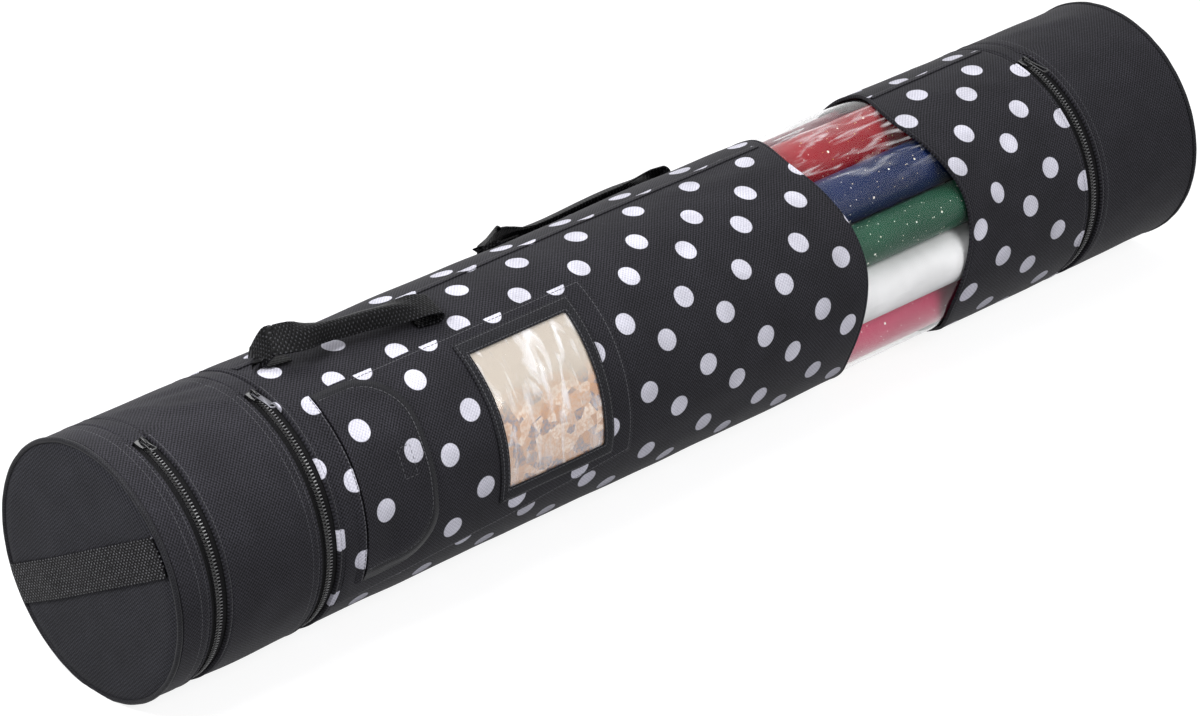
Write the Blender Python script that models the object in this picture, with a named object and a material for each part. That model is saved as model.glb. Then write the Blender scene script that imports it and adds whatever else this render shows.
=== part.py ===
"""Gift wrap organizer: a long round fabric bag that lies on its side.

The tube lies along X, with its near end at -X, its front at -Y and its rest face on Z = 0.
A place along the tube is given by s, the distance from the near end disc.
A place around it is given by an angle: 0 at the front, 90 at the top, -90 at the floor.
Every length is in metres and every angle in degrees.
"""

import math

import bmesh
import bpy
from mathutils import Matrix, Vector

# Driving sizes of the bag
BAG_LENGTH = 1.040
TUBE_RADIUS = 0.0970
FABRIC_WALL = 0.0024
REST_FLAT_DEPTH = 0.0012
SEAM_GAP = 0.0003
FACETS = 48

# Lengths of the bag's sections, from the near end to the far end
LID_DEPTH = 0.0300
ZIP_OPENING = 0.0145
SECTION_LENGTH = 0.0840
FAR_SLEEVE_LENGTH = 0.1380
WINDOW_LENGTH = 0.1080
FAR_CAP_DEPTH = 0.1125

# Ends: stiff discs, the piping round them and the webbing across the near one
DISC_THICKNESS = 0.0030
DISC_INSET = 0.0006
PIPING_RADIUS = 0.0020
PIPING_PROUD = 0.0010
PIPING_SIDES = 6
END_STRAP_WIDTH = 0.0296
END_STRAP_THICKNESS = 0.0016
END_STRAP_OFFSET = 0.0013
END_STRAP_BOW = 0.0015
END_STRAP_TILT = -29.4
END_STRAP_STEPS = 8
FLOOR_THICKNESS = 0.0025
FLOOR_INSET = 0.0040

# Zips: tape under the fabric edges, and a coil on each side of the middle
TAPE_THICKNESS = 0.0008
TAPE_TUCK = 0.0038
COIL_GAP = 0.0012
COIL_WIDTH = 0.0024
COIL_HEIGHT = 0.0025
COIL_ABOVE_TAPE = 0.0014
COIL_ROUNDING = 0.0007
ZIP_CLEARANCE = 0.0004
WINDOW_THICKNESS = 0.0008
WINDOW_TUCK = 0.0080

# Fabric hinges that join the caps to the tube, centred behind the top
HINGE_ANGLE = 105.0
HINGE_FACETS = 3
HINGE_SLIT = 0.0006

# Zip sliders and their pulls
SLIDER_LENGTH = 0.0095
SLIDER_PLATE = 0.0012
SLIDER_RIM = 0.0012
SLIDER_REST_ANGLE = 78.8
SLIDER_STEPS = 4
BRIDGE_LENGTH = 0.0072
BRIDGE_WIDTH = 0.0016
BRIDGE_BAR = 0.0012
BRIDGE_HOLE = 0.0020
PULL_WIDTH = 0.0062
PULL_THICKNESS = 0.0010
PULL_ARM = 0.0014
PULL_WINDOW_LENGTH = 0.0050
PULL_HOLE_RADIUS = 0.0013
LONG_PULL_LENGTH = 0.0225
SHORT_PULL_LENGTH = 0.0130
PULL_TIP_STEPS = 8

# Pocket panel sewn on the front of the tube, its slit and its flap
PANEL_START = 0.0140
PANEL_LENGTH = 0.2655
PANEL_THICKNESS = 0.0009
PANEL_MIDDLE_ANGLE = 22.5
PANEL_NEAR_HALF_ANGLE = 57.0
PANEL_FAR_HALF_ANGLE = 39.5
SLIT_WIDTH = 0.0060
SLIT_SETBACK = 0.0080
SLIT_HALF_ANGLE = 33.0
FLAP_START = 0.0245
FLAP_REACH = 0.0660
FLAP_CORNER_RADIUS = 0.0390
FLAP_THICKNESS = 0.0009
FLAP_ANGLE = 22.5
FLAP_HALF_ANGLE = 43.5
FLAP_CORNER_STEPS = 5
HEM_WIDTH = 0.0060
PAD_THICKNESS = 0.0005
PAD_LENGTH = 0.0130
PAD_SETBACK = 0.0375
PAD_BOTTOM_ANGLE = 18.0
PAD_TOP_ANGLE = 32.0

# Card window on the pocket panel
CARD_FRAME_START = 0.1365
CARD_FRAME_LENGTH = 0.1090
CARD_FRAME_BOTTOM_ANGLE = -12.5
CARD_FRAME_TOP_ANGLE = 61.5
CARD_NEAR_BORDER = 0.0050
CARD_FAR_BORDER = 0.0085
CARD_SIDE_BORDER = 0.0120
CARD_FRAME_THICKNESS = 0.0008
CARD_THICKNESS = 0.0004
FILM_THICKNESS = 0.0003
CARD_SKIRT_SHARE = 0.40
CARD_INSERT_SHARE = 0.48

# Seam that closes the tube along its top
TOP_SEAM_ANGLE = 101.0
TOP_SEAM_HALF_ANGLE = 2.0
TOP_SEAM_THICKNESS = 0.0008
TOP_SEAM_SETBACK = 0.0060

# Webbing handles: a folded grip between two sewn ends
WEBBING_WIDTH = 0.0250
WEBBING_THICKNESS = 0.0018
GRIP_WIDTH = 0.0150
GRIP_THICKNESS = 0.0034
HANDLE_TAB_LENGTH = 0.0220
HANDLE_AXIS_HEIGHT = 0.0060
GRIP_START_HEIGHT = 0.0090
GRIP_CLEARANCE = 0.0008
GRIP_SKEW = 0.55
GRIP_STATION_SHARES = (0.0, 0.02, 0.06, 0.13, 0.25, 0.4, 0.55, 0.7, 0.85, 1.0)
CARRY_HANDLE_START = 0.0200
CARRY_HANDLE_LENGTH = 0.1440
CARRY_HANDLE_NEAR_ANGLE = 96.0
CARRY_HANDLE_FAR_ANGLE = 81.0
CARRY_HANDLE_ARCH = 0.0230
CARRY_HANDLE_LEAN = 40.0
CARRY_HANDLE_ROLL = 40.0
BACK_HANDLE_SETBACK = 0.0390
BACK_HANDLE_LENGTH = 0.1900
BACK_HANDLE_NEAR_ANGLE = 138.0
BACK_HANDLE_FAR_ANGLE = 147.0
BACK_HANDLE_ARCH = 0.0130
BACK_HANDLE_LEAN = -75.0
BACK_HANDLE_ROLL = -10.0

# Places worked out from the sizes above
FACET_ANGLE = 360.0 / FACETS
FLOOR_ANGLE = -90.0
INNER_RADIUS = TUBE_RADIUS - FABRIC_WALL
TAPE_RADIUS = INNER_RADIUS - SEAM_GAP
COIL_RADIUS = TAPE_RADIUS + COIL_ABOVE_TAPE
PANEL_TOP = SEAM_GAP + PANEL_THICKNESS
LOOP_PAD_TOP = PANEL_TOP + SEAM_GAP + PAD_THICKNESS
HOOK_PAD_TOP = LOOP_PAD_TOP + SEAM_GAP + PAD_THICKNESS
FLAP_TOP = HOOK_PAD_TOP + SEAM_GAP + FLAP_THICKNESS
CARD_TOP = PANEL_TOP + SEAM_GAP + CARD_THICKNESS
FILM_TOP = CARD_TOP + SEAM_GAP + FILM_THICKNESS
CARD_FRAME_TOP = FILM_TOP + SEAM_GAP + CARD_FRAME_THICKNESS
FRONT_REACH = TUBE_RADIUS + max(FLAP_TOP, CARD_FRAME_TOP)
BACK_REACH = TUBE_RADIUS + PIPING_PROUD
END_STRAP_REACH = END_STRAP_THICKNESS + SEAM_GAP + END_STRAP_BOW - DISC_INSET

AXIS_Y = (FRONT_REACH - BACK_REACH) / 2
AXIS_Z = TUBE_RADIUS - REST_FLAT_DEPTH
NEAR_END_X = -(BAG_LENGTH - END_STRAP_REACH) / 2

SECTION_START = LID_DEPTH + ZIP_OPENING
SECTION_END = SECTION_START + SECTION_LENGTH
BODY_START = SECTION_END + ZIP_OPENING
FAR_CAP_START = BAG_LENGTH - FAR_CAP_DEPTH
BODY_END = FAR_CAP_START - ZIP_OPENING
WINDOW_END = BODY_END - FAR_SLEEVE_LENGTH
WINDOW_START = WINDOW_END - WINDOW_LENGTH
LID_ZIP = LID_DEPTH + ZIP_OPENING / 2
NEAR_ZIP = SECTION_END + ZIP_OPENING / 2
FAR_ZIP = BODY_END + ZIP_OPENING / 2
HINGE_LOW_ANGLE = HINGE_ANGLE - HINGE_FACETS * FACET_ANGLE
HINGE_HIGH_ANGLE = HINGE_ANGLE + HINGE_FACETS * FACET_ANGLE


def clear_scene():
    """Remove every object of the scene that the script starts in."""
    for old in list(bpy.data.objects):
        bpy.data.objects.remove(old, do_unlink=True)


def material(name, colour, roughness, metallic=0.0, alpha=1.0):
    """Make a Principled material with a plain finish."""
    made = bpy.data.materials.new(name)
    made.use_nodes = True
    shader = made.node_tree.nodes["Principled BSDF"]
    shader.inputs["Base Color"].default_value = (*colour, 1.0)
    shader.inputs["Roughness"].default_value = roughness
    shader.inputs["Metallic"].default_value = metallic
    shader.inputs["Alpha"].default_value = alpha
    made.diffuse_color = (*colour, alpha)
    return made


def along(s):
    """X of a place at distance s from the near end disc."""
    return NEAR_END_X + s


def radial(angle):
    """Unit vector that points away from the tube's axis at an angle."""
    turn = math.radians(angle)
    return Vector((0, -math.cos(turn), math.sin(turn)))


def tangent(angle):
    """Unit vector round the tube, towards larger angles."""
    turn = math.radians(angle)
    return Vector((0, math.sin(turn), math.cos(turn)))


def on_tube(s, angle, height=0.0):
    """Point at s and angle, at a height above the tube's outer surface."""
    centre = Vector((along(s), AXIS_Y, AXIS_Z))
    return centre + radial(angle) * (TUBE_RADIUS + height)


def pivot(name, place, parent=None):
    """Make the empty that stands on a moving body's joint axis."""
    empty = bpy.data.objects.new(name, None)
    bpy.context.scene.collection.objects.link(empty)
    empty.empty_display_size = FABRIC_WALL
    if parent is not None:
        empty.parent = parent
        place = Vector(place) - world_place(parent)
    empty.location = place
    return empty


def world_place(empty):
    """World position of an empty, added up along its parents."""
    place = Vector(empty.location)
    while empty.parent is not None:
        empty = empty.parent
        place += Vector(empty.location)
    return place


def add_piece(name, shape, finish, carrier, smooth_angle=35.0):
    """Turn a bmesh in world coordinates into a named object on its carrier."""
    bmesh.ops.recalc_face_normals(shape, faces=shape.faces)
    mesh = bpy.data.meshes.new(name)
    shape.to_mesh(mesh)
    shape.free()
    mesh.transform(Matrix.Translation(-world_place(carrier)))
    mesh.materials.append(finish)
    mesh.shade_smooth()
    mesh.set_sharp_from_angle(angle=math.radians(smooth_angle))
    piece = bpy.data.objects.new(name, mesh)
    bpy.context.scene.collection.objects.link(piece)
    piece.parent = carrier
    return piece


def press_flat(shape):
    """Press what reaches below the floor up onto it, as the bag's weight does."""
    for corner in shape.verts:
        corner.co.z = max(corner.co.z, 0.0)


def turned(profile, start=FLOOR_ANGLE, facets=FACETS, step=FACET_ANGLE):
    """Spin a closed (s, radius) profile round the tube's axis, down the front from start."""
    shape = bmesh.new()
    centre = Vector((0, AXIS_Y, AXIS_Z))
    ring = [shape.verts.new(centre + Vector((along(s), 0, 0)) + radial(start) * r) for s, r in profile]
    edges = [shape.edges.new((ring[i - 1], ring[i])) for i in range(len(ring))]
    whole = facets == FACETS
    bmesh.ops.spin(
        shape, geom=ring + edges, cent=centre, axis=(1, 0, 0),
        angle=math.radians(step * facets), steps=facets, use_merge=whole,
    )
    if not whole:
        ends = [edge for edge in shape.edges if edge.is_boundary]
        bmesh.ops.holes_fill(shape, edges=ends, sides=0)
    press_flat(shape)
    return shape


def sleeve(start, end, outer=TUBE_RADIUS, inner=INNER_RADIUS):
    """Ring of fabric between two places along the tube."""
    return turned([(start, outer), (end, outer), (end, inner), (start, inner)])


def disc(start, thickness, radius):
    """Round plate across the tube, with its corners in line with the sleeves' facets."""
    shape = bmesh.new()
    middle = Vector((along(start + thickness / 2), AXIS_Y, AXIS_Z))
    turn = Matrix.Rotation(math.radians(90), 4, "Y")
    bmesh.ops.create_cone(
        shape, cap_ends=True, segments=FACETS, radius1=radius, radius2=radius,
        depth=thickness, matrix=Matrix.Translation(middle) @ turn,
    )
    return shape


def piping(middle):
    """Covered cord round an end disc, at its middle along the tube."""
    seat = TUBE_RADIUS + PIPING_PROUD - PIPING_RADIUS
    turns = [math.tau * i / PIPING_SIDES for i in range(PIPING_SIDES)]
    return turned([(middle + PIPING_RADIUS * math.cos(t), seat + PIPING_RADIUS * math.sin(t)) for t in turns])


def zip_half(middle, side, slider_notch):
    """Tape and coil on one side of a zip, and side is -1 towards the near end, 1 towards the far end."""
    inner_edge, coil_edge = COIL_GAP / 2, COIL_GAP / 2 + COIL_WIDTH
    outer_edge = ZIP_OPENING / 2 + TAPE_TUCK
    tape_low, coil_low = TAPE_RADIUS - TAPE_THICKNESS, COIL_RADIUS - COIL_HEIGHT
    profile = [
        (outer_edge, tape_low), (outer_edge, TAPE_RADIUS), (coil_edge, TAPE_RADIUS),
        (coil_edge - COIL_ROUNDING, COIL_RADIUS), (inner_edge + COIL_ROUNDING, COIL_RADIUS),
        (inner_edge, COIL_RADIUS - COIL_ROUNDING), (inner_edge, coil_low), (coil_edge, coil_low),
        (coil_edge, tape_low),
    ]
    notch = 1 if slider_notch else 0
    facets = FACETS - 2 * HINGE_FACETS - notch
    start = HINGE_LOW_ANGLE - notch * FACET_ANGLE
    return turned([(middle + side * u, r) for u, r in profile], start, facets)


def hinge_strip(middle, side):
    """Half of the fabric hinge that bridges a zip's opening behind the top."""
    low, high = HINGE_SLIT / 2, ZIP_OPENING / 2 - SEAM_GAP
    profile = [
        (middle + side * low, INNER_RADIUS), (middle + side * low, TUBE_RADIUS),
        (middle + side * high, TUBE_RADIUS), (middle + side * high, INNER_RADIUS),
    ]
    slack = math.degrees(SEAM_GAP / TUBE_RADIUS)
    return turned(profile, HINGE_HIGH_ANGLE - slack, 2 * HINGE_FACETS, FACET_ANGLE - slack / HINGE_FACETS)


def flat_place(s, angle):
    """Place on the unrolled tube: s along X, and the arc length along Y."""
    return Vector((s, math.radians(angle) * TUBE_RADIUS, 0))


def outline_edges(shape, corners):
    """Closed outline of corners, added to a flat shape."""
    loop = [shape.verts.new(corner) for corner in corners]
    return [shape.edges.new((loop[i - 1], loop[i])) for i in range(len(loop))]


def block_corners(start, end, low_angle, high_angle):
    """Corners of a rectangle on the unrolled tube."""
    return [
        flat_place(start, low_angle), flat_place(end, low_angle),
        flat_place(end, high_angle), flat_place(start, high_angle),
    ]


def thicken(shape, bottom, top):
    """Extrude a flat shape from one height above the tube to another."""
    bmesh.ops.translate(shape, verts=shape.verts, vec=(0, 0, bottom))
    made = bmesh.ops.extrude_face_region(shape, geom=list(shape.faces))
    lifted = [item for item in made["geom"] if isinstance(item, bmesh.types.BMVert)]
    bmesh.ops.translate(shape, verts=lifted, vec=(0, 0, top - bottom))


def wrap(shape):
    """Roll a flat solid round the tube, creased where the tube's facets meet."""
    step = math.radians(FACET_ANGLE)
    reach = [corner.co.y / TUBE_RADIUS for corner in shape.verts]
    for fold in range(math.ceil(min(reach) / step), math.floor(max(reach) / step) + 1):
        everything = list(shape.verts) + list(shape.edges) + list(shape.faces)
        bmesh.ops.bisect_plane(
            shape, geom=everything, plane_co=(0, fold * step * TUBE_RADIUS, 0),
            plane_no=(0, 1, 0), dist=SEAM_GAP * 1e-3,
        )
    for corner in shape.verts:
        angle = corner.co.y / TUBE_RADIUS
        off_middle = angle - (math.floor(angle / step) + 0.5) * step
        radius = (TUBE_RADIUS + corner.co.z) * math.cos(step / 2) / math.cos(off_middle)
        centre = Vector((along(corner.co.x), AXIS_Y, AXIS_Z))
        corner.co = centre + radial(math.degrees(angle)) * radius
    return shape


def patch(corners, bottom, top, hole=None):
    """Solid with a flat outline, and perhaps a hole, rolled round the tube."""
    shape = bmesh.new()
    edges = outline_edges(shape, corners)
    if hole is not None:
        edges += outline_edges(shape, hole)
    bmesh.ops.triangle_fill(shape, use_beauty=True, use_dissolve=True, edges=edges)
    thicken(shape, bottom, top)
    return wrap(shape)


def bevelled_flap():
    """Half-round flap: a rectangle whose two free corners are rounded off."""
    start = BODY_START + FLAP_START
    shape = bmesh.new()
    low, high = FLAP_ANGLE - FLAP_HALF_ANGLE, FLAP_ANGLE + FLAP_HALF_ANGLE
    loop = [shape.verts.new(c) for c in block_corners(start, start + FLAP_REACH, low, high)]
    shape.faces.new(loop)
    bmesh.ops.bevel(
        shape, geom=loop[1:3], affect="VERTICES", offset=FLAP_CORNER_RADIUS,
        offset_type="OFFSET", segments=FLAP_CORNER_STEPS, profile=0.5, material=-1,
    )
    thicken(shape, HOOK_PAD_TOP + SEAM_GAP, FLAP_TOP)
    return wrap(shape)


def card_outline(share):
    """Outline of the card frame, moved in by a share of its borders."""
    start = BODY_START + PANEL_START + CARD_FRAME_START
    turn = math.degrees(share * CARD_SIDE_BORDER / TUBE_RADIUS)
    return block_corners(
        start + share * CARD_NEAR_BORDER, start + CARD_FRAME_LENGTH - share * CARD_FAR_BORDER,
        CARD_FRAME_BOTTOM_ANGLE + turn, CARD_FRAME_TOP_ANGLE - turn,
    )


def card_frame():
    """Bound frame of the card window: a plate over the film, and a skirt down to the panel."""
    plate_low, foot = CARD_FRAME_TOP - CARD_FRAME_THICKNESS, PANEL_TOP + SEAM_GAP
    section = [
        (0.0, foot), (0.0, CARD_FRAME_TOP), (1.0, CARD_FRAME_TOP), (1.0, plate_low),
        (CARD_SKIRT_SHARE, plate_low), (CARD_SKIRT_SHARE, foot),
    ]
    shape = bmesh.new()
    loops = [[shape.verts.new(c + Vector((0, 0, height))) for c in card_outline(share)] for share, height in section]
    for i, loop in enumerate(loops):
        for j in range(len(loop)):
            shape.faces.new((loops[i - 1][j - 1], loops[i - 1][j], loop[j], loop[j - 1]))
    return wrap(shape)


def end_strap():
    """Webbing across the near disc, a little bowed, its ends held by the piping."""
    seat = TUBE_RADIUS + PIPING_PROUD - 2 * PIPING_RADIUS - 2 * SEAM_GAP
    far_edge = END_STRAP_WIDTH / 2 + END_STRAP_OFFSET
    half = math.sqrt(seat**2 - far_edge**2)
    shape = bmesh.new()
    bmesh.ops.create_grid(shape, x_segments=END_STRAP_STEPS, y_segments=1, size=0.5)
    bmesh.ops.scale(shape, verts=shape.verts, vec=(2 * half, END_STRAP_WIDTH, 1))
    bmesh.ops.translate(shape, verts=shape.verts, vec=(0, END_STRAP_OFFSET, 0))
    for corner in shape.verts:
        corner.co.z = END_STRAP_BOW * (1 - (corner.co.x / half) ** 2)
    thicken(shape, 0, END_STRAP_THICKNESS)
    face = Matrix(((0, 0, -1), (1, 0, 0), (0, 1, 0))).to_4x4()
    tilt = Matrix.Rotation(math.radians(END_STRAP_TILT), 4, "X")
    place = Matrix.Translation((along(DISC_INSET - SEAM_GAP), AXIS_Y, AXIS_Z))
    bmesh.ops.transform(shape, matrix=place @ tilt @ face, verts=shape.verts)
    return shape


def roll_round(shape, middle, angle):
    """Move a solid drawn on (across, round, height) axes to its place on the round tube."""
    for corner in shape.verts:
        turn = angle + math.degrees(corner.co.y / TUBE_RADIUS)
        corner.co = on_tube(middle + corner.co.x, turn, corner.co.z)
    return shape


def slider_channel():
    """Section of a slider: two plates and the web between them, with rims beside the coils."""
    web = COIL_GAP / 2 - SEAM_GAP
    rim_in = COIL_GAP / 2 + COIL_WIDTH + ZIP_CLEARANCE
    rim_out = rim_in + SLIDER_RIM
    coil_top = COIL_RADIUS - TUBE_RADIUS
    top_low = coil_top + ZIP_CLEARANCE
    top_high = top_low + SLIDER_PLATE
    rim_low = TAPE_RADIUS + SEAM_GAP - TUBE_RADIUS
    base_high = coil_top - COIL_HEIGHT - ZIP_CLEARANCE - SEAM_GAP / 2
    base_low = base_high - SLIDER_PLATE
    right = [
        (rim_out, top_high), (rim_out, rim_low), (rim_in, rim_low), (rim_in, top_low),
        (web, top_low), (web, base_high), (rim_in, base_high), (rim_in, base_low),
    ]
    return right + [(-across, height) for across, height in reversed(right)], top_high


def slider(name, middle, carrier, finish):
    """Zip slider: a channel round both coils, with a bridge on top that holds the pull."""
    outline, top = slider_channel()
    profile = [(middle + across, TUBE_RADIUS + height) for across, height in outline]
    arc = math.degrees(SLIDER_LENGTH / TUBE_RADIUS)
    channel = turned(profile, SLIDER_REST_ANGLE + arc / 2, SLIDER_STEPS, arc / SLIDER_STEPS)
    piece = add_piece(name, channel, finish, carrier)
    foot, head = top - SEAM_GAP, top + BRIDGE_HOLE + BRIDGE_BAR
    outer, inner = BRIDGE_LENGTH / 2, BRIDGE_LENGTH / 2 - BRIDGE_BAR
    arch = [
        (-outer, foot), (-outer, head), (outer, head), (outer, foot),
        (inner, foot), (inner, top + BRIDGE_HOLE), (-inner, top + BRIDGE_HOLE), (-inner, foot),
    ]
    shape = bmesh.new()
    shape.faces.new([shape.verts.new((-BRIDGE_WIDTH / 2, y, h)) for y, h in arch])
    made = bmesh.ops.extrude_face_region(shape, geom=list(shape.faces), use_keep_orig=True)
    moved = [item for item in made["geom"] if isinstance(item, bmesh.types.BMVert)]
    bmesh.ops.translate(shape, verts=moved, vec=(BRIDGE_WIDTH, 0, 0))
    bridge = add_piece(name + "_bridge", roll_round(shape, middle, SLIDER_REST_ANGLE), finish, carrier)
    bridge.hide_render = True
    bridge.display_type = "WIRE"
    join = piece.modifiers.new("bridge", "BOOLEAN")
    join.operation = "UNION"
    join.solver = "EXACT"
    join.object = bridge
    return piece


def pull_axis_height():
    """Height of a pull's pivot above the tube: the middle of the hole under the bridge."""
    return slider_channel()[1] + BRIDGE_HOLE / 2


def circle(radius, centre_y, start, end, steps):
    """Points on an arc about (0, centre_y), from one angle to another."""
    turns = [math.radians(start + (end - start) * i / steps) for i in range(steps + 1)]
    return [Vector((radius * math.cos(t), centre_y + radius * math.sin(t), 0)) for t in turns]


def pull(length, open_frame):
    """Flat pull on the slider's bridge: a window at its root, and an eye or an open frame."""
    half, root = PULL_WIDTH / 2, PULL_THICKNESS / 2
    window = half - PULL_ARM
    shape = bmesh.new()
    tip = circle(half, length - half, 0, 180, PULL_TIP_STEPS)
    edges = outline_edges(shape, [Vector((-half, -root, 0)), Vector((half, -root, 0))] + tip)
    window_end = root + PULL_WINDOW_LENGTH
    if open_frame:
        window_end = length - half
    corners = [(-window, root), (window, root), (window, window_end), (-window, window_end)]
    edges += outline_edges(shape, [Vector((u, y, 0)) for u, y in corners])
    if not open_frame:
        eye = circle(PULL_HOLE_RADIUS, length - half, 0, 360, 2 * PULL_TIP_STEPS)[:-1]
        edges += outline_edges(shape, eye)
    bmesh.ops.triangle_fill(shape, use_beauty=True, use_dissolve=True, edges=edges)
    thicken(shape, -root, root)
    return shape


def pull_droop():
    """Angle that a pull drops by before it lies on the slider's nose."""
    return math.asin((BRIDGE_HOLE - PULL_THICKNESS) / SLIDER_LENGTH)


def add_pull(name, middle, length, open_frame, carrier, finish):
    """Place a pull on its slider, lying down the front of the bag."""
    shape = pull(length, open_frame)
    droop = Matrix.Rotation(pull_droop(), 3, "X")
    down, out = droop @ -tangent(SLIDER_REST_ANGLE), droop @ radial(SLIDER_REST_ANGLE)
    turn = Matrix((Vector((1, 0, 0)), down, out)).transposed().to_4x4()
    place = on_tube(middle, SLIDER_REST_ANGLE, pull_axis_height())
    bmesh.ops.transform(shape, matrix=Matrix.Translation(place) @ turn, verts=shape.verts)
    return add_piece(name, shape, finish, carrier)


class HandleLine:
    """Line between a handle's two feet, with the directions that its webbing follows."""

    def __init__(self, start, length, near_angle, far_angle, near_base=SEAM_GAP):
        self.angles = (near_angle, far_angle)
        self.near = on_tube(start, near_angle, HANDLE_AXIS_HEIGHT)
        self.far = on_tube(start + length, far_angle, HANDLE_AXIS_HEIGHT)
        self.run = (self.far - self.near).normalized()
        self.length = (self.far - self.near).length
        self.bases = (near_base, SEAM_GAP)

    def up_at(self, share):
        """Direction away from the tube at a share of the way between the feet, square to the line."""
        up = radial(self.angles[0] + (self.angles[1] - self.angles[0]) * share)
        return (up - self.run * up.dot(self.run)).normalized()

    def grip(self, arch, lean, roll):
        """Grip: flat webbing at its ends, folded lengthwise, leaning and rolled in between."""
        gap = WEBBING_THICKNESS + GRIP_CLEARANCE
        run = self.length - 2 * gap
        low = GRIP_START_HEIGHT - HANDLE_AXIS_HEIGHT
        rises = [math.sin(math.pi * share**GRIP_SKEW) for share in GRIP_STATION_SHARES]
        middles = []
        for share, rise in zip(GRIP_STATION_SHARES, rises):
            up = Matrix.Rotation(math.radians(lean * rise), 3, self.run) @ self.up_at(share)
            middles.append(self.near + self.run * (gap + run * share) + up * (low + (arch - low) * rise))
        shape = bmesh.new()
        loops = []
        for i, (middle, rise) in enumerate(zip(middles, rises)):
            over = Matrix.Rotation(math.radians(roll * rise), 3, self.run) @ self.up_at(GRIP_STATION_SHARES[i])
            across = self.run.cross(over).normalized()
            if 0 < i < len(middles) - 1:
                over = across.cross(middles[i + 1] - middles[i - 1]).normalized()
            across *= (WEBBING_WIDTH + (GRIP_WIDTH - WEBBING_WIDTH) * rise) / 2
            over *= (WEBBING_THICKNESS + (GRIP_THICKNESS - WEBBING_THICKNESS) * rise) / 2
            corners = (middle - across - over, middle + across - over, middle + across + over, middle - across + over)
            loops.append([shape.verts.new(corner) for corner in corners])
        for first, second in zip(loops, loops[1:]):
            for j in range(len(first)):
                shape.faces.new((first[j - 1], first[j], second[j], second[j - 1]))
        shape.faces.new(loops[0])
        shape.faces.new(loops[-1])
        return shape

    def foot(self, end):
        """Sewn end of the webbing: a tab on the tube, turned up to meet the grip."""
        place = (self.near, self.far)[end]
        inward = (self.run, -self.run)[end]
        up = radial(self.angles[end])
        inward = (inward - up * inward.dot(up)).normalized()
        low = self.bases[end] - HANDLE_AXIS_HEIGHT
        high = low + WEBBING_THICKNESS
        wall_top = GRIP_START_HEIGHT + GRIP_THICKNESS / 2 - HANDLE_AXIS_HEIGHT
        section = [
            (0, low), (HANDLE_TAB_LENGTH, low), (HANDLE_TAB_LENGTH, high),
            (WEBBING_THICKNESS, high), (WEBBING_THICKNESS, wall_top), (0, wall_top),
        ]
        side = inward.cross(up) * WEBBING_WIDTH / 2
        shape = bmesh.new()
        face = shape.faces.new([shape.verts.new(place + inward * x + up * h - side) for x, h in section])
        made = bmesh.ops.extrude_face_region(shape, geom=[face], use_keep_orig=True)
        moved = [item for item in made["geom"] if isinstance(item, bmesh.types.BMVert)]
        bmesh.ops.translate(shape, verts=moved, vec=2 * side)
        return shape


def carry_line():
    """Line of the short handle on top of the bag, whose near foot stands on the top seam."""
    on_seam = 2 * SEAM_GAP + TOP_SEAM_THICKNESS
    start = BODY_START + CARRY_HANDLE_START
    return HandleLine(start, CARRY_HANDLE_LENGTH, CARRY_HANDLE_NEAR_ANGLE, CARRY_HANDLE_FAR_ANGLE, on_seam)


def back_line():
    """Line of the long handle behind the top, which ends short of the window."""
    start = WINDOW_START - BACK_HANDLE_SETBACK - BACK_HANDLE_LENGTH
    return HandleLine(start, BACK_HANDLE_LENGTH, BACK_HANDLE_NEAR_ANGLE, BACK_HANDLE_FAR_ANGLE)


def build_lid(carrier, fabric, board, webbing, zipping):
    """Shallow lid at the near end: band, disc, piping, webbing and its side of the first zip."""
    band_start = 2 * PIPING_RADIUS + SEAM_GAP
    disc_radius = TUBE_RADIUS + PIPING_PROUD - 2 * PIPING_RADIUS - SEAM_GAP
    add_piece("lid_band", sleeve(band_start, LID_DEPTH), fabric, carrier)
    add_piece("lid_disc", disc(DISC_INSET, DISC_THICKNESS, disc_radius), board, carrier)
    add_piece("lid_piping", piping(PIPING_RADIUS), webbing, carrier)
    add_piece("lid_end_strap", end_strap(), webbing, carrier)
    add_piece("lid_zip_half", zip_half(LID_ZIP, -1, False), zipping, carrier)
    add_piece("lid_hinge_strip", hinge_strip(LID_ZIP, -1), fabric, carrier)


def build_section(carrier, fabric, board, zipping):
    """Accessory section: a short sleeve with a floor, between the first and second zips."""
    floor_start = SECTION_END - TAPE_TUCK - FLOOR_INSET
    add_piece("section_sleeve", sleeve(SECTION_START, SECTION_END), fabric, carrier)
    add_piece("section_floor", disc(floor_start, FLOOR_THICKNESS, INNER_RADIUS - SEAM_GAP), board, carrier)
    add_piece("section_zip_half_near", zip_half(LID_ZIP, 1, True), zipping, carrier)
    add_piece("section_zip_half_far", zip_half(NEAR_ZIP, -1, True), zipping, carrier)
    add_piece("section_hinge_strip_near", hinge_strip(LID_ZIP, 1), fabric, carrier)
    add_piece("section_hinge_strip_far", hinge_strip(NEAR_ZIP, -1), fabric, carrier)


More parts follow.
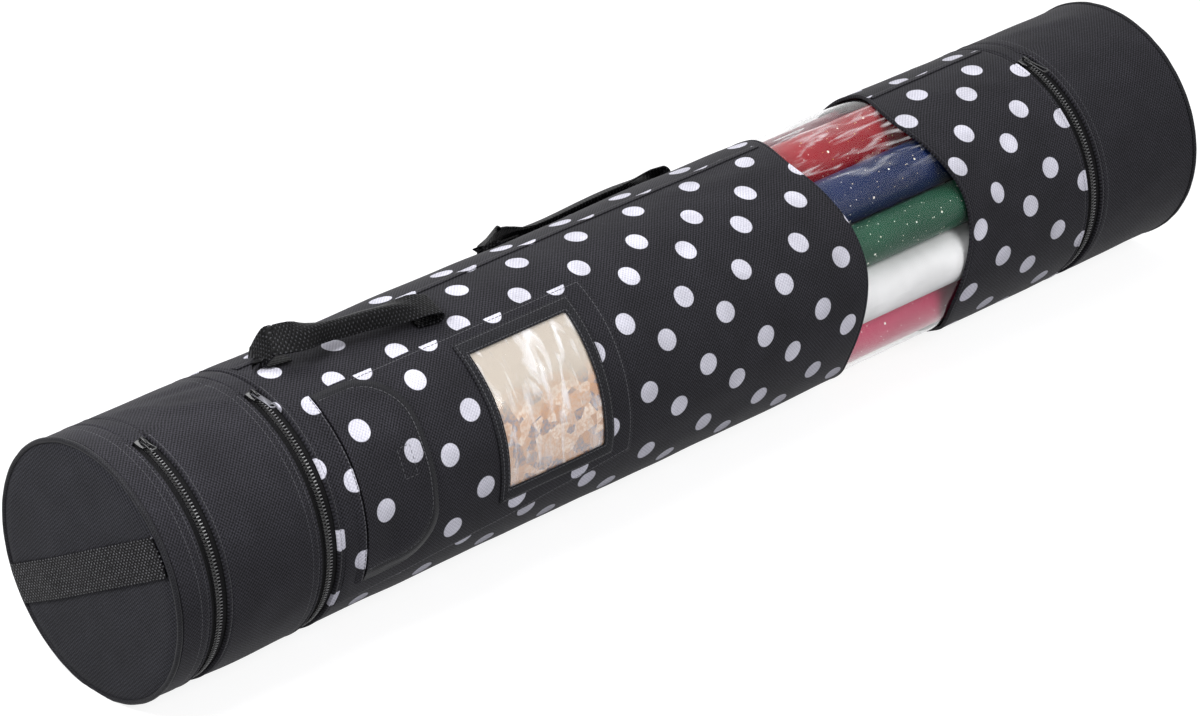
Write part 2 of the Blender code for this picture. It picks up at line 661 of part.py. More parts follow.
def build_tube(carrier, dotted, clear, zipping):
    """Main tube: two dotted sleeves with the clear window between them, and the top seam."""
    window_outer = INNER_RADIUS - SEAM_GAP
    window_inner = window_outer - WINDOW_THICKNESS
    add_piece("tube_sleeve_near", sleeve(BODY_START, WINDOW_START), dotted, carrier)
    add_piece("tube_sleeve_far", sleeve(WINDOW_END, BODY_END), dotted, carrier)
    window = sleeve(WINDOW_START - WINDOW_TUCK, WINDOW_END + WINDOW_TUCK, window_outer, window_inner)
    add_piece("clear_window", window, clear, carrier)
    add_piece("tube_zip_half_near", zip_half(NEAR_ZIP, 1, False), zipping, carrier)
    add_piece("tube_zip_half_far", zip_half(FAR_ZIP, -1, False), zipping, carrier)
    add_piece("tube_hinge_strip_near", hinge_strip(NEAR_ZIP, 1), dotted, carrier)
    add_piece("tube_hinge_strip_far", hinge_strip(FAR_ZIP, -1), dotted, carrier)
    low, high = TOP_SEAM_ANGLE - TOP_SEAM_HALF_ANGLE, TOP_SEAM_ANGLE + TOP_SEAM_HALF_ANGLE
    runs = {
        "top_seam_near": (BODY_START + TOP_SEAM_SETBACK, WINDOW_START - TOP_SEAM_SETBACK),
        "top_seam_far": (WINDOW_END + TOP_SEAM_SETBACK, BODY_END - TOP_SEAM_SETBACK),
    }
    for name, (start, end) in runs.items():
        welt = patch(block_corners(start, end, low, high), SEAM_GAP, SEAM_GAP + TOP_SEAM_THICKNESS)
        add_piece(name, welt, dotted, carrier)


def build_pocket(carrier, flap_carrier, dotted, paper, clear, webbing):
    """Pocket panel with its slit, half-round flap, hook-and-loop pads and card window."""
    start = BODY_START + PANEL_START
    end = start + PANEL_LENGTH
    hinge = BODY_START + FLAP_START
    slit_start = hinge + SLIT_SETBACK
    low, high = FLAP_ANGLE - SLIT_HALF_ANGLE, FLAP_ANGLE + SLIT_HALF_ANGLE
    outline = [
        flat_place(start, PANEL_MIDDLE_ANGLE - PANEL_NEAR_HALF_ANGLE),
        flat_place(end, PANEL_MIDDLE_ANGLE - PANEL_FAR_HALF_ANGLE),
        flat_place(end, PANEL_MIDDLE_ANGLE + PANEL_FAR_HALF_ANGLE),
        flat_place(start, PANEL_MIDDLE_ANGLE + PANEL_NEAR_HALF_ANGLE),
    ]
    slit = block_corners(slit_start, slit_start + SLIT_WIDTH, low, high)
    add_piece("pocket_panel", patch(outline, SEAM_GAP, PANEL_TOP, slit), dotted, carrier)
    hem_low, hem_high = FLAP_ANGLE - FLAP_HALF_ANGLE, FLAP_ANGLE + FLAP_HALF_ANGLE
    hem = block_corners(hinge - HEM_WIDTH - SEAM_GAP, hinge - SEAM_GAP, hem_low, hem_high)
    add_piece("flap_hem", patch(hem, PANEL_TOP + SEAM_GAP, FLAP_TOP), dotted, carrier)
    pad = block_corners(hinge + PAD_SETBACK, hinge + PAD_SETBACK + PAD_LENGTH, PAD_BOTTOM_ANGLE, PAD_TOP_ANGLE)
    add_piece("panel_loop_pad", patch(pad, PANEL_TOP + SEAM_GAP, LOOP_PAD_TOP), webbing, carrier)
    add_piece("flap_hook_pad", patch(pad, LOOP_PAD_TOP + SEAM_GAP, HOOK_PAD_TOP), webbing, flap_carrier)
    add_piece("pocket_flap", bevelled_flap(), dotted, flap_carrier)
    add_piece("card", patch(card_outline(CARD_INSERT_SHARE), PANEL_TOP + SEAM_GAP, CARD_TOP), paper, carrier)
    add_piece("card_film", patch(card_outline(CARD_INSERT_SHARE), CARD_TOP + SEAM_GAP, FILM_TOP), clear, carrier)
    add_piece("card_frame", card_frame(), dotted, carrier)


def build_far_cap(carrier, fabric, board, webbing, zipping):
    """Deep cap at the far end: sleeve, disc, piping and its side of the last zip."""
    sleeve_end = BAG_LENGTH - 2 * PIPING_RADIUS - SEAM_GAP
    disc_radius = TUBE_RADIUS + PIPING_PROUD - 2 * PIPING_RADIUS - SEAM_GAP
    disc_start = BAG_LENGTH - DISC_INSET - DISC_THICKNESS
    add_piece("cap_sleeve", sleeve(FAR_CAP_START, sleeve_end), fabric, carrier)
    add_piece("cap_disc", disc(disc_start, DISC_THICKNESS, disc_radius), board, carrier)
    add_piece("cap_piping", piping(BAG_LENGTH - PIPING_RADIUS), webbing, carrier)
    add_piece("cap_zip_half", zip_half(FAR_ZIP, 1, True), zipping, carrier)
    add_piece("cap_hinge_strip", hinge_strip(FAR_ZIP, 1), fabric, carrier)


def main():
    """Build the bag, body by body."""
    clear_scene()
    fabric = material("black_fabric", (0.020, 0.020, 0.024), 0.85)
    dotted = material("dotted_fabric", (0.060, 0.060, 0.070), 0.85)
    board = material("end_fabric", (0.018, 0.018, 0.021), 0.80)
    webbing = material("webbing", (0.012, 0.012, 0.013), 0.75)
    zipping = material("zip_tape", (0.010, 0.010, 0.011), 0.60)
    metal = material("slider_metal", (0.045, 0.045, 0.048), 0.30, metallic=1.0)
    clear = material("clear_vinyl", (0.85, 0.87, 0.90), 0.08, alpha=0.35)
    paper = material("card_paper", (0.80, 0.68, 0.52), 0.70)

    root = pivot("bag", (0, AXIS_Y, AXIS_Z))
    section = pivot("section_pivot", on_tube(NEAR_ZIP, HINGE_ANGLE), root)
    lid = pivot("lid_pivot", on_tube(LID_ZIP, HINGE_ANGLE), section)
    far_cap = pivot("far_cap_pivot", on_tube(FAR_ZIP, HINGE_ANGLE), root)
    flap = pivot("flap_pivot", on_tube(BODY_START + FLAP_START, FLAP_ANGLE, FLAP_TOP), root)

    build_lid(lid, fabric, board, webbing, zipping)
    build_section(section, fabric, board, zipping)
    build_tube(root, dotted, clear, zipping)
    build_pocket(root, flap, dotted, paper, clear, webbing)
    build_far_cap(far_cap, fabric, board, webbing, zipping)

    zips = {
        "lid": (LID_ZIP, lid, SHORT_PULL_LENGTH, True),
        "near": (NEAR_ZIP, root, LONG_PULL_LENGTH, False),
        "far": (FAR_ZIP, root, LONG_PULL_LENGTH, False),
    }
    for name, (middle, carrier, length, open_frame) in zips.items():
        axis = pivot(name + "_slider_pivot", (along(middle), AXIS_Y, AXIS_Z), carrier)
        slider(name + "_zip_slider", middle, axis, metal)
        bar = on_tube(middle, SLIDER_REST_ANGLE, pull_axis_height())
        add_pull(name + "_zip_pull", middle, length, open_frame, pivot(name + "_pull_pivot", bar, axis), metal)

    handles = {
        "carry_handle": (carry_line(), CARRY_HANDLE_ARCH, CARRY_HANDLE_LEAN, CARRY_HANDLE_ROLL),
        "back_handle": (back_line(), BACK_HANDLE_ARCH, BACK_HANDLE_LEAN, BACK_HANDLE_ROLL),
    }
    for name, (line, *bend) in handles.items():
        add_piece(name + "_near_end", line.foot(0), webbing, root)
        add_piece(name + "_far_end", line.foot(1), webbing, root)
        add_piece(name + "_grip", line.grip(*bend), webbing, pivot(name + "_pivot", line.near, root))


main()
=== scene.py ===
"""Looks of a gift wrap organizer: a long round zipped bag of dotted black cloth.

The tube lies along X. A place along it is s, the distance from the near end disc, and a place
round it is an angle in degrees: 0 at the front, 90 at the top, -90 on the floor. Lengths are metres.
"""

import logging
import math
from collections.abc import Callable, Sequence
from dataclasses import dataclass, field
from enum import Enum

import bmesh
import bpy
from mathutils import Matrix, Vector, noise


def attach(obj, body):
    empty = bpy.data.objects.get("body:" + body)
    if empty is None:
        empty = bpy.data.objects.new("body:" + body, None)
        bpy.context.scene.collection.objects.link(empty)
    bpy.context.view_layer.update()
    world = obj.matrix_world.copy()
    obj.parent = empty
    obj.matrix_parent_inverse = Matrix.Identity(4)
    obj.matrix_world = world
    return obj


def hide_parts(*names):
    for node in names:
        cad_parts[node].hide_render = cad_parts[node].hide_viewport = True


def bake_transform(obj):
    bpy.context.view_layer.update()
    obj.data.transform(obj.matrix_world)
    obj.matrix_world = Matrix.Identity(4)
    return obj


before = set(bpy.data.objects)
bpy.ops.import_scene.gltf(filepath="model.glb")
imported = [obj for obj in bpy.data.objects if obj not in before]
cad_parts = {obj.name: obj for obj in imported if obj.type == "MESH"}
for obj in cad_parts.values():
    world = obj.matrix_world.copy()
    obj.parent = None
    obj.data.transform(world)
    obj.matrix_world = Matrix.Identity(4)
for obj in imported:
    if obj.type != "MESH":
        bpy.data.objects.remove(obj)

LOG = logging.getLogger("gift_wrap_organizer")

# Short names for Blender's types
Shape = bmesh.types.BMesh
Tree = bpy.types.NodeTree
Socket = bpy.types.NodeSocket
Material = bpy.types.Material

# Axis of the tube, its outer radius and the place of the near end disc
AXIS_Y = 0.0015
AXIS_Z = 0.0958
NEAR_END_X = -0.5186
TUBE_RADIUS = 0.0970
CLOTH_RADIUS = 0.0978
INNER_RADIUS = 0.0948
BAG_LENGTH = 1.040

# Places along the tube
LID_END = 0.0300
SECTION_START = 0.0445
SECTION_END = 0.1285
BODY_START = 0.1430
WINDOW_START = 0.6670
WINDOW_END = 0.7750
BODY_END = 0.9130
FAR_CAP_START = 0.9275
LID_ZIP = 0.03725
NEAR_ZIP = 0.13575
FAR_ZIP = 0.92025
ZIP_PLACES = (LID_ZIP, NEAR_ZIP, FAR_ZIP)

# Angles: the seam along the top, and the cloth hinges beside it
SEAM_ANGLE = 101.0
HINGE_LOW = 82.5
HINGE_HIGH = 127.5
RING_STEPS = 160

# Hem stitches beside a zip: how far they run round the tube, their distance from the cloth's edge
# and how deep they lie in it
ZIP_SWEEP = 315.0
HEM_STITCH = 0.0030
HEM_SINK = 0.0006

# Name of the cloth coordinates on every piece, which are metres of flat cloth
CLOTH_UV = "cloth"

# Camera of the photograph
CAMERA_PLACE = (-2.4024, -2.5081, 1.9540)
CAMERA_AIM = (0.6030, 0.6397, -0.4767)
CAMERA_LENS = 158.7
CAMERA_SENSOR = 36.0


class Slot(Enum):
    """Material slots of the record."""

    BLACK = "black_fabric"
    DOTTED = "dotted_fabric"
    END = "end_fabric"
    WEBBING = "webbing"
    TAPE = "zip_tape"
    METAL = "slider_metal"
    VINYL = "clear_vinyl"
    PAPER = "card_paper"


class PullForm(Enum):
    """Forms of the zip pulls."""

    OPEN_FRAME = "open frame"
    EYE = "eye"


# Places on the tube


def along(s: float) -> float:
    """X of a place at distance s from the near end disc."""
    return NEAR_END_X + s


def radial(angle: float) -> Vector:
    """Unit vector that points away from the tube's axis at an angle."""
    turn = math.radians(angle)
    return Vector((0.0, -math.cos(turn), math.sin(turn)))


def polar(s: float, angle: float, radius: float) -> Vector:
    """Point at s, angle and radius."""
    return Vector((along(s), AXIS_Y, AXIS_Z)) + radial(angle) * radius


def angle_of(place: Vector, seam: float = SEAM_ANGLE) -> float:
    """Angle of a point round the tube, counted down the front from the seam.

    Args:
        place: the point.
        seam: the angle where the count starts, and is largest.

    Returns:
        The angle in degrees, from just over seam - 360 up to seam.
    """
    angle = math.degrees(math.atan2(place.z - AXIS_Z, AXIS_Y - place.y))
    return angle - 360.0 if angle > seam else angle


def smooth(value: float) -> float:
    """Ease a value from 0 to 1 with no corner at either end."""
    value = min(max(value, 0.0), 1.0)
    return value * value * (3.0 - 2.0 * value)


@dataclass(frozen=True)
class Crease:
    """Soft fold of the cloth along a straight line on the unrolled tube.

    Attributes:
        start: s and angle of one end.
        end: s and angle of the other end.
        depth: how far the cloth rises, or falls below zero.
        width: half width of the fold.
    """

    start: tuple[float, float]
    end: tuple[float, float]
    depth: float
    width: float

    def lift(self, s: float, angle: float) -> float:
        """Height that the fold gives the cloth at a place."""
        k = math.radians(TUBE_RADIUS)
        ax, ay = self.start[0], self.start[1] * k
        bx, by = self.end[0] - ax, self.end[1] * k - ay
        px, py = s - ax, angle * k - ay
        length = math.hypot(bx, by)
        run = (px * bx + py * by) / length
        off = (px * by - py * bx) / length
        ends = smooth(run / (0.3 * length)) * smooth((length - run) / (0.3 * length))
        return self.depth * ends * math.exp(-((off / self.width) ** 2))


CREASES = (
    Crease((0.062, 96.0), (0.128, 78.0), 0.0012, 0.0050),
    Crease((0.075, 108.0), (0.134, 97.0), -0.0011, 0.0045),
    Crease((0.050, 112.0), (0.082, 92.0), 0.0010, 0.0050),
    Crease((0.140, 92.0), (0.215, 74.0), 0.0008, 0.0060),
    Crease((0.145, 112.0), (0.260, 106.0), -0.0009, 0.0060),
    Crease((0.245, 66.0), (0.300, 20.0), 0.0008, 0.0080),
    Crease((0.430, 62.0), (0.560, 34.0), 0.0007, 0.0140),
    Crease((0.425, 10.0), (0.560, -34.0), -0.0008, 0.0140),
    Crease((0.530, 96.0), (0.665, 78.0), 0.0007, 0.0090),
    Crease((0.780, 92.0), (0.905, 66.0), 0.0009, 0.0110),
    Crease((0.795, 34.0), (0.912, 6.0), -0.0008, 0.0120),
    Crease((0.930, 108.0), (1.020, 92.0), 0.0009, 0.0080),
    Crease((0.300, 170.0), (0.620, 150.0), 0.0008, 0.0150),
    Crease((0.180, 215.0), (0.480, 190.0), -0.0008, 0.0160),
)


def swell(s: float, angle: float) -> float:
    """How far the cloth stands off the true round tube, from its own slack and folds.

    Args:
        s: distance from the near end disc.
        angle: angle round the tube.

    Returns:
        The rise in metres, which dies out at the zips and the two ends.
    """
    clear = min([abs(s - place) for place in ZIP_PLACES] + [s, BAG_LENGTH - s])
    turn = math.radians(angle)
    spot = Vector((s * 8.0, 1.3 * math.cos(turn), 1.3 * math.sin(turn)))
    slack = 0.0013 * noise.noise(spot) + 0.0005 * noise.noise(spot * 3.1 + Vector((7.0, 3.0, 1.0)))
    turned = angle % 360.0
    folds = sum(crease.lift(s, turned if turned < 281.0 else turned - 360.0) for crease in CREASES)
    return slack * smooth(clear / 0.035) + folds * smooth(clear / 0.012)


# Meshes


def spun(profile: Sequence[tuple[float, float]], start: float = SEAM_ANGLE, sweep: float = 360.0,
         steps: int = RING_STEPS, closed: bool = True,
         shape: Shape | None = None) -> Shape:
    """Spin an (s, radius) profile round the tube's axis, down the front from a start angle.

    Args:
        profile: the profile's points.
        start: angle where the spin starts.
        sweep: angle that it covers.
        steps: number of steps.
        closed: whether the profile's last point joins its first.
        shape: the shape to add it to, or None for a new one.

    Returns:
        The shape, closed at its ends where it doesn't go all the way round.
    """
    shape = shape or bmesh.new()
    ring = [shape.verts.new(polar(s, start, radius)) for s, radius in profile]
    edges = [shape.edges.new(pair) for pair in zip(ring, ring[1:])]
    if closed:
        edges.append(shape.edges.new((ring[-1], ring[0])))
    whole = sweep >= 360.0
    bmesh.ops.spin(
        shape, geom=ring + edges, cent=(0.0, AXIS_Y, AXIS_Z), axis=(1.0, 0.0, 0.0),
        angle=math.radians(sweep), steps=steps, use_merge=whole, use_duplicate=False,
    )
    if closed and not whole:
        bmesh.ops.holes_fill(shape, edges=[edge for edge in shape.edges if edge.is_boundary], sides=0)
    return shape


def lay_cloth(shape: Shape, seam: float = SEAM_ANGLE) -> None:
    """Give a shape on the tube its cloth coordinates: s, and the arc length from the front."""
    layer = shape.loops.layers.uv.new(CLOTH_UV)
    for face in shape.faces:
        middle = angle_of(face.calc_center_median(), seam)
        for loop in face.loops:
            angle = angle_of(loop.vert.co, seam)
            angle += 360.0 * round((middle - angle) / 360.0)
            loop[layer].uv = (loop.vert.co.x - NEAR_END_X, math.radians(angle) * CLOTH_RADIUS)


def lay_flat(shape: Shape) -> None:
    """Give a flat shape its own x and y as its cloth coordinates."""
    layer = shape.loops.layers.uv.new(CLOTH_UV)
    for face in shape.faces:
        for loop in face.loops:
            loop[layer].uv = (loop.vert.co.x, loop.vert.co.y * CLOTH_RADIUS / TUBE_RADIUS)


def lay_disc(shape: Shape) -> None:
    """Give a round piece across the tube its cloth coordinates, which are y and z."""
    layer = shape.loops.layers.uv.new(CLOTH_UV)
    for face in shape.faces:
        for loop in face.loops:
            loop[layer].uv = (loop.vert.co.y, loop.vert.co.z)


def relax(shape: Shape, share: float = 1.0) -> None:
    """Let the cloth of a shape on the tube swell, and press what reaches below the floor up to it."""
    for corner in shape.verts:
        angle = angle_of(corner.co)
        corner.co += radial(angle) * swell(corner.co.x - NEAR_END_X, angle) * share
        corner.co.z = max(corner.co.z, 0.0)


def wrap(shape: Shape, extra: Callable[[float, float], float] | None = None) -> None:
    """Roll a flat solid, drawn as (s, arc, height), round the swollen tube.

    Args:
        shape: the flat solid.
        extra: further height at an s and angle, for cloth that stands off the tube.
    """
    for corner in shape.verts:
        s, angle = corner.co.x, math.degrees(corner.co.y / TUBE_RADIUS)
        height = corner.co.z + swell(s, angle)
        if extra is not None:
            height += extra(s, angle)
        corner.co = polar(s, angle, TUBE_RADIUS + height)
        corner.co.z = max(corner.co.z, 0.0)


def finish_piece(name: str, shape: Shape, finishes: Sequence["Finish"], body: str | None,
                 replaces: Sequence[str] = (), sharp: float = 40.0) -> bpy.types.Object:
    """Turn a shape in place into a finished piece of the object.

    Args:
        name: name of the piece.
        shape: its shape, which is used up.
        finishes: its finishes, in the order of the faces' material indices.
        body: the body that it rides on, or None to leave it unattached.
        replaces: the solids that it stands for.
        sharp: the angle in degrees from which edges stay sharp.

    Returns:
        The new object.
    """
    bmesh.ops.recalc_face_normals(shape, faces=shape.faces)
    mesh = bpy.data.meshes.new(name)
    shape.to_mesh(mesh)
    shape.free()
    for finish in finishes:
        mesh.materials.append(SHOP.use(finish))
    mesh.shade_smooth()
    mesh.set_sharp_from_angle(angle=math.radians(sharp))
    piece = bpy.data.objects.new(name, mesh)
    bpy.context.scene.collection.objects.link(piece)
    if body is not None:
        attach(piece, body)
    if replaces:
        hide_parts(*replaces)
    LOG.info("%s: %d faces", name, len(mesh.polygons))
    return piece


def thicken(shape: Shape, low: float, high: float) -> None:
    """Extrude a flat sheet from one height to another."""
    bmesh.ops.translate(shape, verts=shape.verts, vec=(0.0, 0.0, low))
    made = bmesh.ops.extrude_face_region(shape, geom=list(shape.faces), use_keep_orig=True)
    lifted = [item for item in made["geom"] if isinstance(item, bmesh.types.BMVert)]
    bmesh.ops.translate(shape, verts=lifted, vec=(0.0, 0.0, high - low))


def round_edges(shape: Shape, width: float, least: float = 50.0, segments: int = 2) -> None:
    """Bevel the edges of a shape that turn by more than an angle in degrees."""
    edges = [edge for edge in shape.edges if len(edge.link_faces) == 2
             and edge.calc_face_angle(0.0) > math.radians(least)]
    bmesh.ops.bevel(shape, geom=edges, offset=width, offset_type="OFFSET", affect="EDGES",
                    segments=segments, profile=0.5, material=-1, clamp_overlap=True)


# Finishes


def linear(colour: str) -> tuple[float, float, float, float]:
    """Turn an sRGB hex colour into Blender's linear colour."""
    levels = [int(colour[i:i + 2], 16) / 255.0 for i in (1, 3, 5)]
    return (*(c / 12.92 if c <= 0.04045 else ((c + 0.055) / 1.055) ** 2.4 for c in levels), 1.0)


def add_node(tree: Tree, kind: str, inputs: dict | None = None,
             **settings: object) -> bpy.types.Node:
    """Add a node with its settings and links.

    Args:
        tree: the node tree.
        kind: the node's type name.
        inputs: input names or numbers, each with its value or the socket that feeds it.
        **settings: the node's own properties.

    Returns:
        The new node.
    """
    made = tree.nodes.new(kind)
    for name, value in settings.items():
        setattr(made, name, value)
    for name, value in (inputs or {}).items():
        if isinstance(value, Socket):
            tree.links.new(value, made.inputs[name])
        else:
            made.inputs[name].default_value = value
    return made


def new_material(name: str) -> tuple[Material, Tree, bpy.types.Node]:
    """Make an empty material.

    Args:
        name: its name.

    Returns:
        The material, its node tree and its output node.
    """
    made = bpy.data.materials.new(name)
    made.use_nodes = True
    made.node_tree.nodes.clear()
    return made, made.node_tree, add_node(made.node_tree, "ShaderNodeOutputMaterial")


def combine(tree: Tree, operation: str, *values: object) -> Socket:
    """Socket of a Math node that works on numbers or sockets."""
    return add_node(tree, "ShaderNodeMath", dict(enumerate(values)), operation=operation).outputs[0]


def combine_vectors(tree: Tree, operation: str, *values: object) -> Socket:
    """Socket of a Vector Math node that works on vectors or sockets."""
    made = add_node(tree, "ShaderNodeVectorMath", dict(enumerate(values)), operation=operation)
    return made.outputs[1] if operation in ("DOT_PRODUCT", "LENGTH") else made.outputs[0]


def blend_colours(tree: Tree, share: object, first: object, second: object) -> Socket:
    """Socket of a colour that goes from the first to the second as the share goes from 0 to 1."""
    made = add_node(tree, "ShaderNodeMix", {0: share, 6: first, 7: second}, data_type="RGBA")
    return made.outputs[2]


def ramp(tree: Tree, value: object, low: float, high: float,
         to_low: float = 0.0, to_high: float = 1.0) -> Socket:
    """Socket of a value mapped from one range to another, held at its ends."""
    made = add_node(tree, "ShaderNodeMapRange", {0: value, 1: low, 2: high, 3: to_low, 4: to_high}, clamp=True)
    return made.outputs[0]


def weave(tree: Tree, place: Socket, pitch_x: float,
          pitch_y: float) -> Socket:
    """Height of an over-and-under weave, from -1 to 1.

    Args:
        tree: the node tree.
        place: cloth coordinates in metres.
        pitch_x: distance between threads along x.
        pitch_y: distance between threads along y.

    Returns:
        The height's socket.
    """
    scaled = combine_vectors(tree, "MULTIPLY", place, (math.pi / pitch_x, math.pi / pitch_y, 0.0))
    parts = add_node(tree, "ShaderNodeSeparateXYZ", {0: scaled})
    return combine(tree, "MULTIPLY", combine(tree, "SINE", parts.outputs[0]),
                   combine(tree, "SINE", parts.outputs[1]))


@dataclass(frozen=True)
class DotPrint:
    """White dots printed on cloth in two interleaved rows.

    Attributes:
        first: cloth coordinates of one dot of the first set, in millimetres.
        along: step from a dot to the next one along the tube.
        around: step from a dot to the next one round the tube.
        second: the second set's shift, as shares of the two steps.
        radius: radius of a dot.
    """

    first: tuple[float, float]
    along: tuple[float, float] = (59.2, 1.0)
    around: tuple[float, float] = (-4.2, 54.7)
    second: tuple[float, float] = (0.48, 0.57)
    radius: float = 8.3

    def mask(self, tree: Tree, place: Socket) -> Socket:
        """Socket that is 1 on a dot and 0 between them."""
        (ax, ay), (bx, by) = self.along, self.around
        area = ax * by - ay * bx
        millimetres = combine_vectors(tree, "MULTIPLY", place, (1000.0, 1000.0, 0.0))
        moved = combine_vectors(tree, "SUBTRACT", millimetres, (*self.first, 0.0))
        across = combine_vectors(tree, "DOT_PRODUCT", moved, (by / area, -bx / area, 0.0))
        up = combine_vectors(tree, "DOT_PRODUCT", moved, (-ay / area, ax / area, 0.0))
        cell = add_node(tree, "ShaderNodeCombineXYZ", {0: across, 1: up}).outputs[0]
        reaches = []
        for shift in ((0.0, 0.0), self.second):
            here = combine_vectors(tree, "SUBTRACT", cell, (*shift, 0.0))
            near = combine_vectors(tree, "WRAP", here, (0.5, 0.5, 0.5), (-0.5, -0.5, -0.5))
            real = combine_vectors(tree, "MULTIPLY", near, (math.hypot(ax, ay), math.hypot(bx, by), 0.0))
            reaches.append(combine_vectors(tree, "LENGTH", real))
        return ramp(tree, combine(tree, "MINIMUM", *reaches), self.radius - 0.25, self.radius + 0.25, 1.0, 0.0)


@dataclass(frozen=True)
class Cloth:
    """Woven polyester, dyed in the yarn: a matt body with a faint grey bloom and a visible weave.

    Attributes:
        name: name of the material.
        base: colour between the threads, darkened there as painted shade.
        lit: colour on top of the threads, lightened there as a painted highlight.
        thread: distance between threads. Real oxford yarn lies 0.5 mm apart, which is too fine
            for the picture, so it is drawn about three times as coarse.
        relief: height of the weave.
        dots: dots printed on it, if any.
        sheen: strength of the bloom.
        roughness: roughness of the yarn.
    """

    name: str
    base: str = "#070709"
    lit: str = "#39383f"
    thread: float = 0.0015
    relief: float = 0.00030
    dots: DotPrint | None = None
    sheen: float = 0.05
    roughness: float = 0.74

    def build(self) -> Material:
        """Make the material."""
        made, tree, output = new_material(self.name)
        place = add_node(tree, "ShaderNodeUVMap", uv_map=CLOTH_UV).outputs[0]
        crossing = weave(tree, place, self.thread, self.thread)
        twill = combine_vectors(tree, "DOT_PRODUCT", place, (math.pi / self.thread, -math.pi / self.thread, 0.0))
        threads = combine(tree, "MULTIPLY_ADD", combine(tree, "SINE", twill), 0.55, crossing)
        worn = add_node(tree, "ShaderNodeTexNoise", {"Vector": place, "Scale": 34.0, "Detail": 4.0})
        grain = add_node(tree, "ShaderNodeTexNoise", {"Vector": place, "Scale": 900.0, "Detail": 2.0})
        level = combine(tree, "MULTIPLY_ADD", threads, 0.24, grain.outputs[0])
        # Painted highlight and shade: the thread tops take the lighter colour, the gaps between threads the darker one
        colour = blend_colours(tree, ramp(tree, level, 0.25, 0.95), linear(self.base), linear(self.lit))
        if self.dots is not None:
            # The dots' ink is also lighter on the thread tops, a painted highlight
            ink = blend_colours(tree, ramp(tree, level, 0.1, 0.8), linear("#aeadbb"), linear("#d8d7e2"))
            colour = blend_colours(tree, self.dots.mask(tree, place), colour, ink)
        tired = ramp(tree, worn.outputs[0], 0.3, 0.7, 0.80, 1.12)
        colour = add_node(tree, "ShaderNodeVectorMath", {0: colour, "Scale": tired}, operation="SCALE").outputs[0]
        bump = add_node(tree, "ShaderNodeBump", {"Strength": 0.7, "Distance": self.relief, "Height": level})
        shader = add_node(tree, "ShaderNodeBsdfPrincipled", {
            "Base Color": colour, "Roughness": self.roughness, "IOR": 1.48, "Specular IOR Level": 0.12,
            "Sheen Weight": self.sheen, "Sheen Roughness": 0.45, "Normal": bump.outputs[0],
        })
        tree.links.new(shader.outputs[0], output.inputs[0])
        return made


@dataclass(frozen=True)
class Webbing:
    """Woven polypropylene strap: thick shiny ribs, with pale sparks on the rib crests that are a painted highlight.

    Attributes:
        name: name of the material.
        pitch_x: distance between ribs along the strap.
        pitch_y: distance between threads across it.
        base: colour in the grooves, darkened as painted shade.
        lit: colour on the rib crests, lightened as a painted highlight.
        relief: height of the ribs.
    """

    name: str
    pitch_x: float = 0.0016
    pitch_y: float = 0.0026
    base: str = "#040405"
    lit: str = "#38383b"
    relief: float = 0.0005

    def build(self) -> Material:
        """Make the material."""
        made, tree, output = new_material(self.name)
        place = add_node(tree, "ShaderNodeUVMap", uv_map=CLOTH_UV).outputs[0]
        threads = weave(tree, place, self.pitch_x, self.pitch_y)
        grain = add_node(tree, "ShaderNodeTexNoise", {"Vector": place, "Scale": 700.0, "Detail": 2.0})
        level = combine(tree, "MULTIPLY_ADD", threads, 0.45, grain.outputs[0])
        # Painted highlight and shade: the rib crests take the lighter colour, the grooves the darker one
        colour = blend_colours(tree, ramp(tree, level, 0.70, 0.96), linear(self.base), linear(self.lit))
        bump = add_node(tree, "ShaderNodeBump", {"Strength": 0.9, "Distance": self.relief, "Height": level})
        shader = add_node(tree, "ShaderNodeBsdfPrincipled", {
            "Base Color": colour, "Roughness": 0.46, "IOR": 1.49, "Specular IOR Level": 0.08,
            "Normal": bump.outputs[0],
        })
        tree.links.new(shader.outputs[0], output.inputs[0])
        return made


@dataclass(frozen=True)
class Moulded:
    """Plain moulded or cast finish with a faint grain, such as coil nylon, sewing thread or painted zinc.

    Attributes:
        name: name of the material.
        colour: its colour.
        roughness: its roughness.
        metallic: 1 for bare metal.
        grain: size of the grain.
        relief: height of the grain.
    """

    name: str
    colour: str
    roughness: float = 0.35
    metallic: float = 0.0
    grain: float = 0.0008
    relief: float = 0.00004

    def build(self) -> Material:
        """Make the material."""
        made, tree, output = new_material(self.name)
        place = add_node(tree, "ShaderNodeTexCoord").outputs["Object"]
        speck = add_node(tree, "ShaderNodeTexNoise", {"Vector": place, "Scale": 1.0 / self.grain, "Detail": 2.0})
        dull = tuple(0.72 * c for c in linear(self.colour)[:3]) + (1.0,)
        colour = blend_colours(tree, ramp(tree, speck.outputs[0], 0.35, 0.65), dull, linear(self.colour))
        rough = ramp(tree, speck.outputs[0], 0.3, 0.7, self.roughness - 0.06, self.roughness + 0.08)
        bump = add_node(tree, "ShaderNodeBump",
                        {"Strength": 0.5, "Distance": self.relief, "Height": speck.outputs[0]})
        shader = add_node(tree, "ShaderNodeBsdfPrincipled", {
            "Base Color": colour, "Roughness": rough, "Metallic": self.metallic, "Normal": bump.outputs[0],
        })
        tree.links.new(shader.outputs[0], output.inputs[0])
        return made


